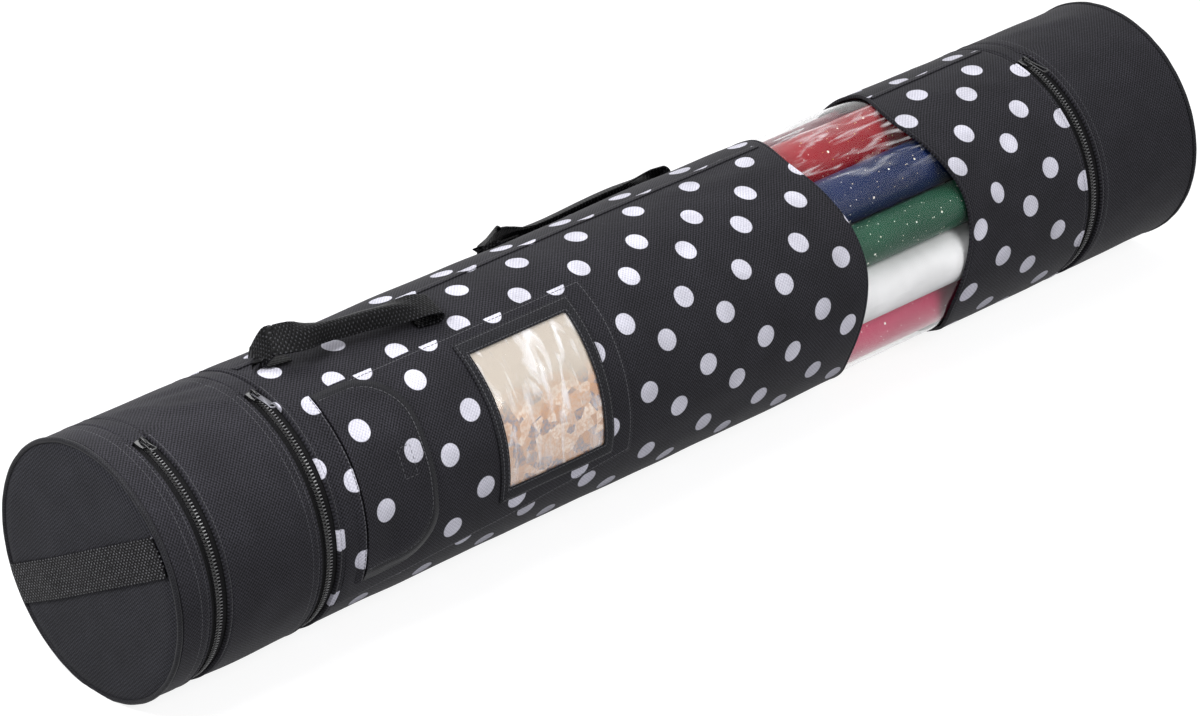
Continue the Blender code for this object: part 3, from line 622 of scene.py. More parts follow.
@dataclass(frozen=True)
class ClearVinyl:
    """Calendered soft vinyl film: colourless, glossy, with the small crinkles of handled sheet.

    Pale streaks along its sharper folds are a painted highlight: a whitish matt shader mixed into the film, standing
    in for its reflection.

    Attributes:
        name: name of the material.
        crinkle: distance between crinkles.
        relief: height of the crinkles.
        haze: roughness of the film.
        bend: IOR of its body, lower than solid vinyl's 1.5, because the thin film bends nothing behind it.
        gloss: weight of the coat that reflects.
        bloom: strength of the painted highlight streaks along its sharper folds.
        drawn: how much the painted highlight streaks are drawn out along s and along the arc.
        above: arc height from which the painted highlight streaks show.
    """

    name: str
    crinkle: float = 0.030
    relief: float = 0.0030
    haze: float = 0.05
    bend: float = 1.14
    gloss: float = 0.0
    bloom: float = 0.42
    drawn: tuple[float, float] = (0.20, 1.0)
    above: float = 0.082

    def build(self) -> Material:
        """Make the material."""
        made, tree, output = new_material(self.name)
        place = add_node(tree, "ShaderNodeUVMap", uv_map=CLOTH_UV).outputs[0]
        turned = add_node(tree, "ShaderNodeMapping",
                          {0: place, "Rotation": (0.0, 0.0, math.radians(24.0)), "Scale": (0.45, 1.0, 1.0)})
        folds = add_node(tree, "ShaderNodeTexNoise", {
            "Vector": turned.outputs[0], "Scale": 1.0 / self.crinkle, "Detail": 0.5, "Distortion": 0.6})
        bump = add_node(tree, "ShaderNodeBump",
                        {"Strength": 1.0, "Distance": self.relief, "Height": folds.outputs[0]})
        glass = add_node(tree, "ShaderNodeBsdfPrincipled", {
            "Base Color": linear("#fefefe"), "Roughness": 0.02, "IOR": self.bend, "Transmission Weight": 1.0,
            "Coat Weight": self.gloss, "Coat Roughness": self.haze, "Coat IOR": 1.5, "Coat Normal": bump.outputs[0],
        })
        pulled = add_node(tree, "ShaderNodeMapping",
                          {0: place, "Rotation": (0.0, 0.0, math.radians(-14.0)), "Scale": (*self.drawn, 1.0)})
        streaks = add_node(tree, "ShaderNodeTexNoise", {
            "Vector": pulled.outputs[0], "Scale": 3.0 / self.crinkle, "Detail": 3.0, "Distortion": 1.4})
        # Painted highlight: pale streaks along the sharper folds, only above an arc height, standing in for the film's
        # reflection
        height_on = add_node(tree, "ShaderNodeSeparateXYZ", {0: place}).outputs[1]
        painted_streak_share = combine(tree, "MULTIPLY", ramp(tree, streaks.outputs[0], 0.52, 0.82),
                        ramp(tree, height_on, self.above, self.above + 0.05, 0.0, self.bloom))
        # A pale matt shader, mixed in along the streaks as a painted highlight
        white = add_node(tree, "ShaderNodeBsdfPrincipled", {
            "Base Color": linear("#f4f3f6"), "Roughness": 0.35, "Specular IOR Level": 0.3})
        film = add_node(tree, "ShaderNodeMixShader", {0: painted_streak_share, 1: glass.outputs[0], 2: white.outputs[0]})
        clear = add_node(tree, "ShaderNodeBsdfTransparent")
        path = add_node(tree, "ShaderNodeLightPath")
        lamps = combine(tree, "MAXIMUM", path.outputs["Is Shadow Ray"], path.outputs["Is Diffuse Ray"])
        mixed = add_node(tree, "ShaderNodeMixShader", {0: lamps, 1: film.outputs[0], 2: clear.outputs[0]})
        tree.links.new(mixed.outputs[0], output.inputs[0])
        return made


@dataclass(frozen=True)
class WrapPaper:
    """Coated gift wrap: a glossy dyed sheet, perhaps with flecks of foil.

    Attributes:
        name: name of the material.
        colour: colour of the paper.
        fleck: colour of the flecks, or None for plain paper.
        gloss: weight of its clear overwrap.
    """

    name: str
    colour: str
    fleck: str | None = None
    gloss: float = 0.1

    def build(self) -> Material:
        """Make the material."""
        made, tree, output = new_material(self.name)
        place = add_node(tree, "ShaderNodeUVMap", uv_map=CLOTH_UV).outputs[0]
        cloud = add_node(tree, "ShaderNodeTexNoise", {"Vector": place, "Scale": 18.0, "Detail": 3.0})
        deep = tuple(0.80 * c for c in linear(self.colour)[:3]) + (1.0,)
        colour = blend_colours(tree, ramp(tree, cloud.outputs[0], 0.35, 0.65), deep, linear(self.colour))
        if self.fleck is not None:
            spots = []
            # Flecks of two sizes: fine dust about 5 mm apart, and flakes about 16 mm apart
            for spacing, size in ((0.0045, 0.085), (0.0150, 0.065)):
                cells = add_node(tree, "ShaderNodeTexVoronoi",
                                 {"Vector": place, "Scale": 1.0 / spacing, "Randomness": 1.0})
                spots.append(ramp(tree, cells.outputs["Distance"], size, size + 0.015, 1.0, 0.0))
            flecks = combine(tree, "MAXIMUM", *spots)
            tone = add_node(tree, "ShaderNodeTexNoise", {"Vector": place, "Scale": 160.0})
            share = ramp(tree, tone.outputs[0], 0.45, 0.55)
            metal = blend_colours(tree, share, linear(self.fleck), linear("#f4f2ea"))
            colour = blend_colours(tree, flecks, colour, metal)
        shader = add_node(tree, "ShaderNodeBsdfPrincipled", {
            "Base Color": colour, "Roughness": 0.38, "Specular IOR Level": 0.2, "Coat Weight": self.gloss,
            "Coat Roughness": 0.10,
        })
        tree.links.new(shader.outputs[0], output.inputs[0])
        return made


@dataclass(frozen=True)
class CardPrint:
    """Glossy printed card: a generic landscape of a cream sky over soft tan and brown patches.

    Attributes:
        name: name of the material.
        low: cloth coordinate across the card where its bottom lies.
        high: cloth coordinate across the card where its top lies.
    """

    name: str
    low: float = -0.012
    high: float = 0.095

    def build(self) -> Material:
        """Make the material."""
        made, tree, output = new_material(self.name)
        place = add_node(tree, "ShaderNodeUVMap", uv_map=CLOTH_UV).outputs[0]
        parts = add_node(tree, "ShaderNodeSeparateXYZ", {0: place})
        bend = add_node(tree, "ShaderNodeTexNoise", {"Vector": place, "Scale": 38.0, "Detail": 3.0})
        height = combine(tree, "MULTIPLY_ADD", bend.outputs[0], 0.030, parts.outputs[1])
        ground = ramp(tree, height, self.low + 0.066, self.low + 0.084, 1.0, 0.0)
        patches = add_node(tree, "ShaderNodeTexVoronoi", {"Vector": place, "Scale": 120.0})
        tone = add_node(tree, "ShaderNodeSeparateColor", {0: patches.outputs["Color"]})
        fine = add_node(tree, "ShaderNodeTexNoise", {"Vector": place, "Scale": 330.0, "Detail": 3.0})
        warm = blend_colours(tree, tone.outputs[0], linear("#b08468"), linear("#f0dfd0"))
        cool = blend_colours(tree, ramp(tree, tone.outputs[1], 0.60, 0.72), warm, linear("#7d7b88"))
        earth = blend_colours(tree, ramp(tree, fine.outputs[0], 0.40, 0.60, 0.0, 0.7), cool, linear("#c69468"))
        share = ramp(tree, height, self.low + 0.05, self.high)
        sky = blend_colours(tree, share, linear("#b9ab9a"), linear("#b3a89b"))
        colour = blend_colours(tree, ground, sky, earth)
        shader = add_node(tree, "ShaderNodeBsdfPrincipled", {
            "Base Color": colour, "Roughness": 0.35, "Coat Weight": 0.2, "Coat Roughness": 0.1})
        tree.links.new(shader.outputs[0], output.inputs[0])
        return made


Finish = Cloth | Webbing | Moulded | ClearVinyl | WrapPaper | CardPrint


@dataclass
class Finishes:
    """All the object's finishes, built once.

    Attributes:
        made: finished materials by name.
    """

    made: dict[str, Material] = field(default_factory=dict)

    def use(self, finish: Finish) -> Material:
        """Material of a finish, made when it is first asked for."""
        if finish.name not in self.made:
            self.made[finish.name] = finish.build()
        return self.made[finish.name]


SHOP = Finishes()

# Oxford polyester: a matt black cross weave that greys where light grazes it, its white dots printed
NEAR_DOTS = DotPrint((436.5, 68.0))
FAR_DOTS = DotPrint((785.4, 74.5), (62.0, 0.7), (-1.1, 52.9), (0.475, 0.41))
BLACK_OXFORD = Cloth("black_oxford_polyester")
NEAR_OXFORD = Cloth("dotted_oxford_polyester_near", dots=NEAR_DOTS)
FAR_OXFORD = Cloth("dotted_oxford_polyester_far", dots=FAR_DOTS)
PANEL_OXFORD = Cloth("dotted_oxford_polyester_panel",
                     dots=DotPrint((250.0, 34.0), (61.0, 0.0), (0.0, 58.5), (0.47, 0.40)))
FLAP_OXFORD = Cloth("dotted_oxford_polyester_flap",
                    dots=DotPrint((184.5, 17.2), (70.0, 0.0), (0.0, 58.0), (0.5, 0.53)))
HEM_OXFORD = Cloth("dotted_oxford_polyester_hem", dots=DotPrint((165.5, 45.8), (59.0, 0.0), (0.0, 60.0), (0.5, 0.5)))
# Coarser oxford on stiff board: an even charcoal that shows its weave
DISC_OXFORD = Cloth("black_oxford_polyester_disc", base="#070709", lit="#3c3c43", thread=0.0016, sheen=0.03)
# Thin taffeta inside, smooth and plain grey
LINING = Cloth("grey_taffeta_lining", base="#2a2a2d", lit="#3a3a3e", thread=0.0012, sheen=0.05)
# Bias binding: finer threads with some sheen, which draw a soft light line along an edge
EDGE_BINDING = Cloth("black_polyester_binding", base="#0a0a0c", lit="#2e2e33", thread=0.0011, roughness=0.55)
# Polypropylene webbing: fat ribs on the handles, a basket weave on the strap; the pale specks on both are a painted
# highlight
HANDLE_WEBBING = Webbing("ribbed_polypropylene_webbing")
STRAP_WEBBING = Webbing("basket_polypropylene_webbing", pitch_x=0.0019, pitch_y=0.0019,
                        base="#020203", lit="#6a6a6e", relief=0.0005)
# Knitted zip tape: flat and dull, coloured darker than the cloth as painted shade, which makes the darkest line beside
# the teeth
TAPE = Cloth("knitted_polyester_zip_tape", base="#050506", lit="#161618", thread=0.0010, roughness=0.7, sheen=0.0)
# Nylon coil: smooth black teeth; their outward faces take a lighter colour, a painted highlight that shows as a row of
# beads
COIL = Moulded("black_nylon_zip_coil", "#101011", 0.25)
COIL_PAINTED_HIGHLIGHT = Moulded("nylon_coil_crest_painted_highlight", "#6a6a6c", 0.28)
# Spun thread: small dull dashes, in grey rather than black as a painted highlight, so that the stitches show as
# lighter dashes
THREAD = Moulded("black_polyester_thread", "#48484d", 0.5)
# Zinc: the painted one glints softly, the plated one mirrors the room
BLACK_ZINC = Moulded("black_painted_zinc", "#1c1c1e", 0.22)
GREY_ZINC = Moulded("gunmetal_plated_zinc", "#6e6e74", 0.36, 1.0)
# Vinyl: the window's is limp, the card's is stiffer and shines in wide patches; the pale streaks on both are a painted
# highlight
VINYL = ClearVinyl("clear_soft_vinyl")
CARD_FILM = ClearVinyl("clear_card_film", crinkle=0.040, relief=0.0060, haze=0.10, bend=1.03, gloss=1.0,
                       bloom=0.66, drawn=(1.0, 0.26), above=-1.0)
FRAME_OXFORD = Cloth("black_oxford_polyester_frame", base="#0c0c0e", lit="#333338")
# Hook and loop pile: a dark fuzz that takes no shine
HOOK_PILE = Cloth("hook_and_loop_pile", base="#0e0e10", lit="#26262a", thread=0.0009, relief=0.0004)
# Gloss print: soft warm tones under a thin shine
CARD_PRINT = CardPrint("printed_card")


# Sewing


@dataclass
class Stitches:
    """Row of lock stitches: short threads laid end to end, each dipping into the cloth.

    Attributes:
        pitch: distance from one stitch to the next.
        length: length of a stitch that shows.
        width: thickness of the thread. Real thread is 0.3 mm, which the picture would lose.
    """

    pitch: float = 0.0036
    length: float = 0.0027
    width: float = 0.00055

    def sew(self, name: str, body: str, places: Sequence[Matrix]) -> None:
        """Lay one rounded thread at each place, along its local y with its top along its local z."""
        thread = bmesh.new()
        size = Matrix.Diagonal((self.width, self.length, self.width * 0.8, 1.0))
        bmesh.ops.create_cube(thread, size=1.0, matrix=size)
        bmesh.ops.bevel(thread, geom=list(thread.edges), offset=self.width * 0.3, offset_type="OFFSET",
                        affect="EDGES", segments=1, profile=0.5, material=-1)
        one = bpy.data.meshes.new("thread")
        thread.to_mesh(one)
        thread.free()
        shape = bmesh.new()
        for place in places:
            one.transform(place)
            shape.from_mesh(one)
            one.transform(place.inverted())
        bpy.data.meshes.remove(one)
        finish_piece(name, shape, [THREAD], body)

    def ring(self, name: str, body: str, s: float, start: float, sweep: float, sink: float = 0.0002) -> None:
        """Row round the tube at s, down the front from a start angle."""
        places = []
        count = max(int(math.radians(sweep) * TUBE_RADIUS / self.pitch), 1)
        for i in range(count):
            angle = start - sweep * (i + 0.5) / count
            place = polar(s, angle, TUBE_RADIUS - sink + swell(s, angle))
            if place.z < self.width:
                continue
            up = radial(angle)
            side = Vector((1.0, 0.0, 0.0))
            turn = Matrix((side, up.cross(side), up)).transposed().to_4x4()
            places.append(Matrix.Translation(place) @ turn)
        self.sew(name, body, places)

    def hem(self, name: str, body: str, s: float) -> None:
        """Row beside a zip at s, all along its teeth, sunk in the hem that it holds."""
        self.ring(name, body, s, HINGE_LOW, ZIP_SWEEP, HEM_SINK)

    def path(self, name: str, body: str, lines: Sequence[Sequence[tuple[float, float]]],
             place: Callable[[float, float], Vector]) -> None:
        """Rows along lines of (s, arc) points.

        Args:
            name: name of the piece.
            body: the body that it rides on.
            lines: the lines, in metres on the unrolled tube.
            place: where an (s, arc) point lies on the cloth.
        """
        places = []
        for line in lines:
            spare = 0.5 * self.pitch
            for (ax, ay), (bx, by) in zip(line, line[1:]):
                length = math.hypot(bx - ax, by - ay)
                ahead = ((bx - ax) / length, (by - ay) / length)
                while spare < length:
                    x, y = ax + ahead[0] * spare, ay + ahead[1] * spare
                    here = place(x, y)
                    along_it = (place(x + ahead[0] * 1e-4, y + ahead[1] * 1e-4) - here).normalized()
                    up = radial(math.degrees(y / TUBE_RADIUS))
                    side = along_it.cross(up).normalized()
                    up = side.cross(along_it)
                    turn = Matrix((side, along_it, up)).transposed().to_4x4()
                    places.append(Matrix.Translation(here) @ turn)
                    spare += self.pitch
                spare -= length
        self.sew(name, body, places)


def on_cloth(height: float) -> Callable[[float, float], Vector]:
    """Function that places an (s, arc) point at a height above the swollen tube."""
    def place(s: float, arc: float) -> Vector:
        """Place of one point."""
        angle = math.degrees(arc / TUBE_RADIUS)
        return polar(s, angle, TUBE_RADIUS + swell(s, angle) + height)
    return place


# Cloth sleeves


@dataclass(frozen=True)
class Hem:
    """Turned edge of a sleeve: a rolled lip, and the dip that a row of stitches pulls in.

    Attributes:
        stitch: distance of the stitches from the edge.
        lip: how far the lip stands up.
        dip: how deep the stitches pull.
    """

    stitch: float = 0.0030
    lip: float = 0.0003
    dip: float = 0.0005

    def stations(self) -> list[tuple[float, float]]:
        """Distances from the edge, each with its height over the sleeve."""
        return [(0.0, -0.0015), (0.0003, -0.0006), (0.0009, self.lip * 0.7), (0.0017, self.lip),
                (self.stitch - 0.0008, self.lip * 0.4), (self.stitch, -self.dip), (self.stitch + 0.0010, 0.0),
                (self.stitch + 0.0030, 0.0)]


@dataclass(frozen=True)
class Sleeve:
    """Round tube of sewn cloth between two places along the bag.

    Attributes:
        name: name of the piece, which is that of its solid.
        body: body that it rides on.
        start: s of its near edge.
        end: s of its far edge.
        cloth: its finish.
        slot: the record's slot; not used.
        bow_start: how its near edge bows with the angle.
        bow_end: how its far edge bows with the angle.
    """

    name: str
    body: str
    start: float
    end: float
    cloth: Cloth
    slot: Slot
    bow_start: Callable[[float], float] | None = None
    bow_end: Callable[[float], float] | None = None
    hem_start: Hem | None = Hem()
    hem_end: Hem | None = Hem()

    def profile(self) -> list[tuple[float, float]]:
        """Closed section of the wall, with close stations at the hems."""
        plain = [(0.0, -0.0006), (0.0006, 0.0)]
        near = self.hem_start.stations() if self.hem_start else plain
        far = self.hem_end.stations() if self.hem_end else plain
        outer = [(self.start + d, TUBE_RADIUS + h) for d, h in near]
        first, last = outer[-1][0], self.end - far[-1][0]
        count = max(int((last - first) / 0.0055), 1)
        outer += [(first + (last - first) * i / count, TUBE_RADIUS) for i in range(1, count)]
        outer += [(self.end - d, TUBE_RADIUS + h) for d, h in reversed(far)]
        inner = [(self.end + (self.start - self.end) * i / 8, INNER_RADIUS) for i in range(9)]
        return outer + inner

    def build(self) -> None:
        """Make the sleeve, with its lining inside."""
        shape = spun(self.profile())
        lay_cloth(shape)
        middle, reach = (self.start + self.end) / 2, (self.end - self.start) / 2
        for corner in shape.verts:
            s, angle = corner.co.x - NEAR_END_X, angle_of(corner.co)
            for bow, side in ((self.bow_start, -1.0), (self.bow_end, 1.0)):
                if bow is not None:
                    corner.co.x += bow(angle) * smooth(side * (s - middle) / reach * 1.25 - 0.25)
        relax(shape)
        for face in shape.faces:
            middle_point = face.calc_center_median()
            off = math.hypot(middle_point.y - AXIS_Y, middle_point.z - AXIS_Z)
            face.material_index = 1 if off < INNER_RADIUS + 0.0008 and abs(face.normal.x) < 0.5 else 0
        piece = finish_piece(self.name, shape, [self.cloth, LINING], self.body,
                             [self.name])


def window_bow(low: float, rise: float, back: float) -> Callable[[float], float]:
    """Function that gives the bow of a window edge.

    Args:
        low: the bow where it is least, beside the front.
        rise: how much more it bows a little above the front.
        back: how much more it bows all along the back.

    Returns:
        The bow at an angle.
    """
    def bow(angle: float) -> float:
        """Bow at one angle."""
        turned = (angle + 180.0) % 360.0 - 180.0
        behind = max(smooth((turned - 74.0) / 45.0), smooth((-20.0 - turned) / 45.0))
        return low + rise * math.exp(-(((turned - 26.0) / 36.0) ** 2)) + back * behind
    return bow


@dataclass
class Window:
    """Clear vinyl sleeve that shows the rolls, tucked under the cloth on both sides."""

    tuck: float = 0.0150
    far_tuck: float = 0.0230
    outer: float = 0.0944
    wall: float = 0.0006

    def build(self) -> None:
        """Make the window."""
        start, end = WINDOW_START - self.tuck, WINDOW_END + self.far_tuck
        count = 50
        outer = [(start + (end - start) * i / count, self.outer) for i in range(count + 1)]
        inner = [(s, self.outer - self.wall) for s, _ in reversed(outer)]
        shape = spun(outer + inner, steps=200)
        lay_cloth(shape)
        for corner in shape.verts:
            s, angle = corner.co.x - NEAR_END_X, angle_of(corner.co)
            turn = math.radians(angle)
            spot = Vector((s * 22.0 + 2.0 * math.sin(turn), 3.4 * math.cos(turn), 3.4 * math.sin(turn)))
            ridge = 1.0 - abs(noise.noise(spot)) * 2.6
            edge = smooth((s - WINDOW_START - 0.004) / 0.02) * smooth((WINDOW_END - 0.004 - s) / 0.02)
            lift = 0.0007 * ridge * edge * smooth((angle - 20.0) / 60.0) + 0.0002 * noise.noise(spot * 2.0)
            corner.co += radial(angle) * lift
            corner.co.z = max(corner.co.z, 0.0006)
        piece = finish_piece("clear_window", shape, [VINYL], "tube", ["clear_window"])


@dataclass(frozen=True)
class Roll:
    """Roll of gift wrap that lies in the tube against its wall.

    Attributes:
        name: name of the piece.
        angle: angle of its middle round the tube.
        radius: its outer radius.
        paper: its finish.
    """

    name: str
    angle: float
    radius: float
    paper: WrapPaper
    start: float = 0.1415
    length: float = 0.7590
    core: float = 0.0110
    seat: float = 0.0922

    def build(self) -> None:
        """Make the roll: a hollow cylinder with softened ends."""
        shape = bmesh.new()
        end = self.start + self.length
        profile = [(self.start, self.core), (self.start, self.radius - 0.0008), (self.start + 0.0008, self.radius),
                   (end - 0.0008, self.radius), (end, self.radius - 0.0008), (end, self.core)]
        steps = 56
        ring = [shape.verts.new((along(s), -r, 0.0)) for s, r in profile]
        edges = [shape.edges.new((ring[i - 1], ring[i])) for i in range(len(ring))]
        bmesh.ops.spin(shape, geom=ring + edges, cent=(0.0, 0.0, 0.0), axis=(1.0, 0.0, 0.0),
                       angle=math.tau, steps=steps, use_merge=True, use_duplicate=False)
        layer = shape.loops.layers.uv.new(CLOTH_UV)
        for face in shape.faces:
            middle = face.calc_center_median()
            centre = math.atan2(middle.z, middle.y)
            for loop in face.loops:
                turn = math.atan2(loop.vert.co.z, loop.vert.co.y)
                turn += math.tau * round((centre - turn) / math.tau)
                loop[layer].uv = (loop.vert.co.x - NEAR_END_X, turn * self.radius)
        middle = Vector((0.0, AXIS_Y, AXIS_Z)) + radial(self.angle) * (self.seat - self.radius)
        bmesh.ops.translate(shape, verts=shape.verts, vec=middle)
        finish_piece(self.name, shape, [self.paper], "tube")


ROLLS = (
    Roll("roll_red", 96.5, 0.0255, WrapPaper("red_foil_flecked_gift_wrap", "#8c0c1b", "#d8b25a", 0.2)),
    Roll("roll_navy", 57.0, 0.0200, WrapPaper("navy_foil_flecked_gift_wrap", "#0f2048", "#d8c9a0", 0.2)),
    Roll("roll_green", 27.0, 0.0170, WrapPaper("green_foil_flecked_gift_wrap", "#1e4a37", "#f0ecd8")),
    Roll("roll_white", -4.0, 0.0212, WrapPaper("white_coated_gift_wrap", "#fbfbfc")),
    Roll("roll_rose", -40.0, 0.0215, WrapPaper("rose_coated_gift_wrap", "#c04063", "#f0c6cc", 0.2)),
    Roll("roll_maroon", 137.5, 0.0200, WrapPaper("maroon_coated_gift_wrap", "#5a1226")),
    Roll("roll_kraft", 176.0, 0.0220, WrapPaper("kraft_gift_wrap", "#b58a5a")),
    Roll("roll_silver", 215.0, 0.0210, WrapPaper("silver_coated_gift_wrap", "#b9bbc0")),
    Roll("roll_forest", 251.0, 0.0200, WrapPaper("forest_coated_gift_wrap", "#1f4a34")),
    Roll("roll_gold", 285.0, 0.0195, WrapPaper("gold_coated_gift_wrap", "#b8934a")),
)


@dataclass
class Tube:
    """Main tube: two dotted sleeves, the window between them and the rolls."""

    def build(self) -> None:
        """Make the tube's own pieces."""
        Sleeve("tube_sleeve_near", "tube", BODY_START, WINDOW_START, NEAR_OXFORD, Slot.DOTTED,
               bow_end=window_bow(-0.009, 0.013, 0.019), hem_end=Hem(0.0030, 0.0003, 0.0003)).build()
        Sleeve("tube_sleeve_far", "tube", WINDOW_END, BODY_END, FAR_OXFORD, Slot.DOTTED,
               bow_start=window_bow(-0.009, 0.018, 0.024), hem_start=Hem(0.0030, 0.0003, 0.0003)).build()
        Window().build()
        for roll in ROLLS:
            roll.build()


# Zips


@dataclass(frozen=True)
class ZipHalf:
    """One side of a zip: its knitted tape, and the nylon coil sewn along the tape's edge.

    Attributes:
        name: name of the piece, which is that of its solid.
        body: body that it rides on.
        middle: s of the zip's middle.
        side: -1 on the side of the near end, 1 on that of the far end.
        pitch: distance from one tooth to the next.
    """

    name: str
    body: str
    middle: float
    side: float
    pitch: float = 0.0026
    tooth: tuple[float, float, float] = (0.0029, 0.00140, 0.0013)
    tooth_middle: float = 0.0012
    tooth_radius: float = 0.0951
    tuck: float = 0.0108

    def build(self) -> None:
        """Make the tape with its teeth."""
        sweep = 360.0 - (HINGE_HIGH - HINGE_LOW)
        shape = self.teeth(sweep)
        # Faces of the teeth that face straight out take the lighter crest colour, a painted highlight; the other faces
        # take the black coil
        for face in shape.faces:
            up = radial(angle_of(face.calc_center_median()))
            face.material_index = 2 if face.normal.dot(up) > 0.9 else 1
        tape = [(0.0008, 0.0937), (0.0008, 0.0941), (0.0014, 0.0943), (0.0024, 0.0943), (0.0027, 0.0949),
                (0.0032, 0.0951), (0.0037, 0.0948), (0.0040, 0.0943), (0.0056, 0.0942), (0.0076, 0.0944),
                (self.tuck, 0.0946), (self.tuck, 0.0940), (0.0060, 0.0937)]
        spun([(self.middle + self.side * d, r) for d, r in tape], HINGE_LOW, sweep, 150, shape=shape)
        lay_cloth(shape)
        finish_piece(self.name, shape, [TAPE, COIL, COIL_PAINTED_HIGHLIGHT], self.body,
                     [self.name])

    def teeth(self, sweep: float) -> Shape:
        """Row of teeth round the tube, half a pitch apart from the other side's."""
        shape = bmesh.new()
        step = math.degrees(self.pitch / self.tooth_radius)
        start = HINGE_LOW - step * (0.25 + 0.25 * (1.0 + self.side))
        count = int(sweep / step) - 1
        made = bmesh.ops.create_cube(shape, size=1.0, matrix=Matrix.Diagonal((*self.tooth, 1.0)))
        for corner in made["verts"]:
            if corner.co.x < 0.0:
                corner.co.z *= 0.45
                corner.co.y *= 0.8
            corner.co.x = self.side * (corner.co.x + self.tooth_middle)
        bmesh.ops.bevel(shape, geom=list(shape.edges), offset=0.00026, offset_type="OFFSET", affect="EDGES",
                        segments=1, profile=0.5, material=-1)
        up = radial(start)
        turn = Matrix((Vector((1.0, 0.0, 0.0)), up.cross(Vector((1.0, 0.0, 0.0))), up)).transposed().to_4x4()
        place = Matrix.Translation(polar(self.middle, start, self.tooth_radius)) @ turn
        bmesh.ops.transform(shape, matrix=place, verts=shape.verts)
        bmesh.ops.spin(shape, geom=list(shape.verts) + list(shape.edges) + list(shape.faces),
                       cent=(0.0, AXIS_Y, AXIS_Z), axis=(1.0, 0.0, 0.0), angle=math.radians(step * count),
                       steps=count, use_merge=False, use_duplicate=True)
        bmesh.ops.recalc_face_normals(shape, faces=shape.faces)
        return shape


@dataclass(frozen=True)
class ClothHinge:
    """Piece of the bag's own cloth that bridges a zip behind the top.

    Attributes:
        name: name of the piece.
        near_body: body on the side of the near end; not used.
        far_body: body on the side of the far end; not used.
        start: s of its near seam.
        end: s of its far seam.
        replaces: its solids.
    """

    name: str
    near_body: str
    far_body: str
    start: float
    end: float
    replaces: tuple[str, ...]
    tuck: float = 0.0030

    def build(self) -> None:
        """Make the hinge with its two seams tucked under the sleeves."""
        count = 14
        low, high = self.start - self.tuck, self.end + self.tuck
        outer = []
        for i in range(count + 1):
            s = low + (high - low) * i / count
            inside = min(s - self.start, self.end - s)
            outer.append((s, TUBE_RADIUS - 0.0019 + 0.0017 * smooth((inside + 0.0005) / 0.0022)))
        inner = [(high, TUBE_RADIUS - 0.0023), (low, TUBE_RADIUS - 0.0023)]
        shape = spun(outer + inner, HINGE_HIGH, HINGE_HIGH - HINGE_LOW + 1.5, 34)
        lay_cloth(shape, 180.0)
        for corner in shape.verts:
            s, angle = corner.co.x - NEAR_END_X, angle_of(corner.co, 180.0)
            spot = Vector((s * 60.0, angle * 0.07, 2.0))
            inside = smooth(min(s - self.start, self.end - s) / 0.004)
            corner.co += radial(angle) * 0.0008 * noise.noise(spot) * inside
        piece = finish_piece(self.name, shape, [BLACK_OXFORD], None, self.replaces)
        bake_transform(piece)


# Ends and caps


@dataclass(frozen=True)
class EndDisc:
    """Stiff round end of a cap: cloth over board, slightly domed, with its piping.

    Attributes:
        name: name of the disc's solid.
        piping: name of the piping's solid.
        body: body that they ride on.
        outside: s of the outer face.
        side: -1 for an end that faces the near way, 1 for the far way.
    """

    name: str
    piping: str
    body: str
    outside: float
    side: float
    radius: float = 0.0940
    thickness: float = 0.0028
    dome: float = 0.0030
    cord: float = 0.0020
    cord_seat: float = 0.0960
    cord_middle: float = 0.0020

    def build(self) -> None:
        """Make the disc and its piping."""
        self.build_disc()
        self.build_piping()

    def build_disc(self) -> None:
        """Disc with a shallow ditch inside the piping and a softly uneven face."""
        face = [(0.0004, 0.0)] + [(0.0004, self.radius * i / 22) for i in range(1, 21)]
        face += [(0.0005, self.radius * 0.945), (0.0010, self.radius * 0.972), (0.0015, self.radius)]
        back = [(self.thickness, self.radius), (self.thickness, self.radius * 0.5), (self.thickness, 0.0)]
        profile = [(self.outside - self.side * depth, r) for depth, r in face + back]
        shape = spun(profile, closed=False, steps=120)
        bmesh.ops.remove_doubles(shape, verts=shape.verts, dist=0.00002)
        lay_disc(shape)
        for corner in shape.verts:
            off = math.hypot(corner.co.y - AXIS_Y, corner.co.z - AXIS_Z)
            if abs(corner.co.x - along(self.outside)) < 0.0012:
                spot = Vector((corner.co.y * 16.0, corner.co.z * 16.0, self.side * 3.0))
                rise = 0.0007 * noise.noise(spot) + 0.0003 * noise.noise(spot * 3.0)
                dome = self.dome * (1.0 - (off / self.radius) ** 2)
                corner.co.x += self.side * (dome + (rise - 0.0004) * smooth((self.radius - off) / 0.02))
        piece = finish_piece(self.name, shape, [DISC_OXFORD], self.body, [self.name])

    def build_piping(self) -> None:
        """Covered cord round the disc, with the puckers of its bias tape."""
        middle = self.outside - self.side * self.cord_middle
        turns = [math.tau * i / 14 for i in range(14)]
        profile = [(middle + self.cord * math.cos(turn), self.cord_seat + self.cord * math.sin(turn))
                   for turn in turns]
        shape = spun(profile, steps=240)
        lay_cloth(shape)
        for corner in shape.verts:
            angle = angle_of(corner.co)
            spot = Vector((math.cos(math.radians(angle)) * 9.0, math.sin(math.radians(angle)) * 9.0, self.side))
            corner.co += radial(angle) * 0.0003 * noise.noise(spot)
            corner.co.z = max(corner.co.z, 0.0)
        finish_piece(self.piping, shape, [EDGE_BINDING], self.body, [self.piping])


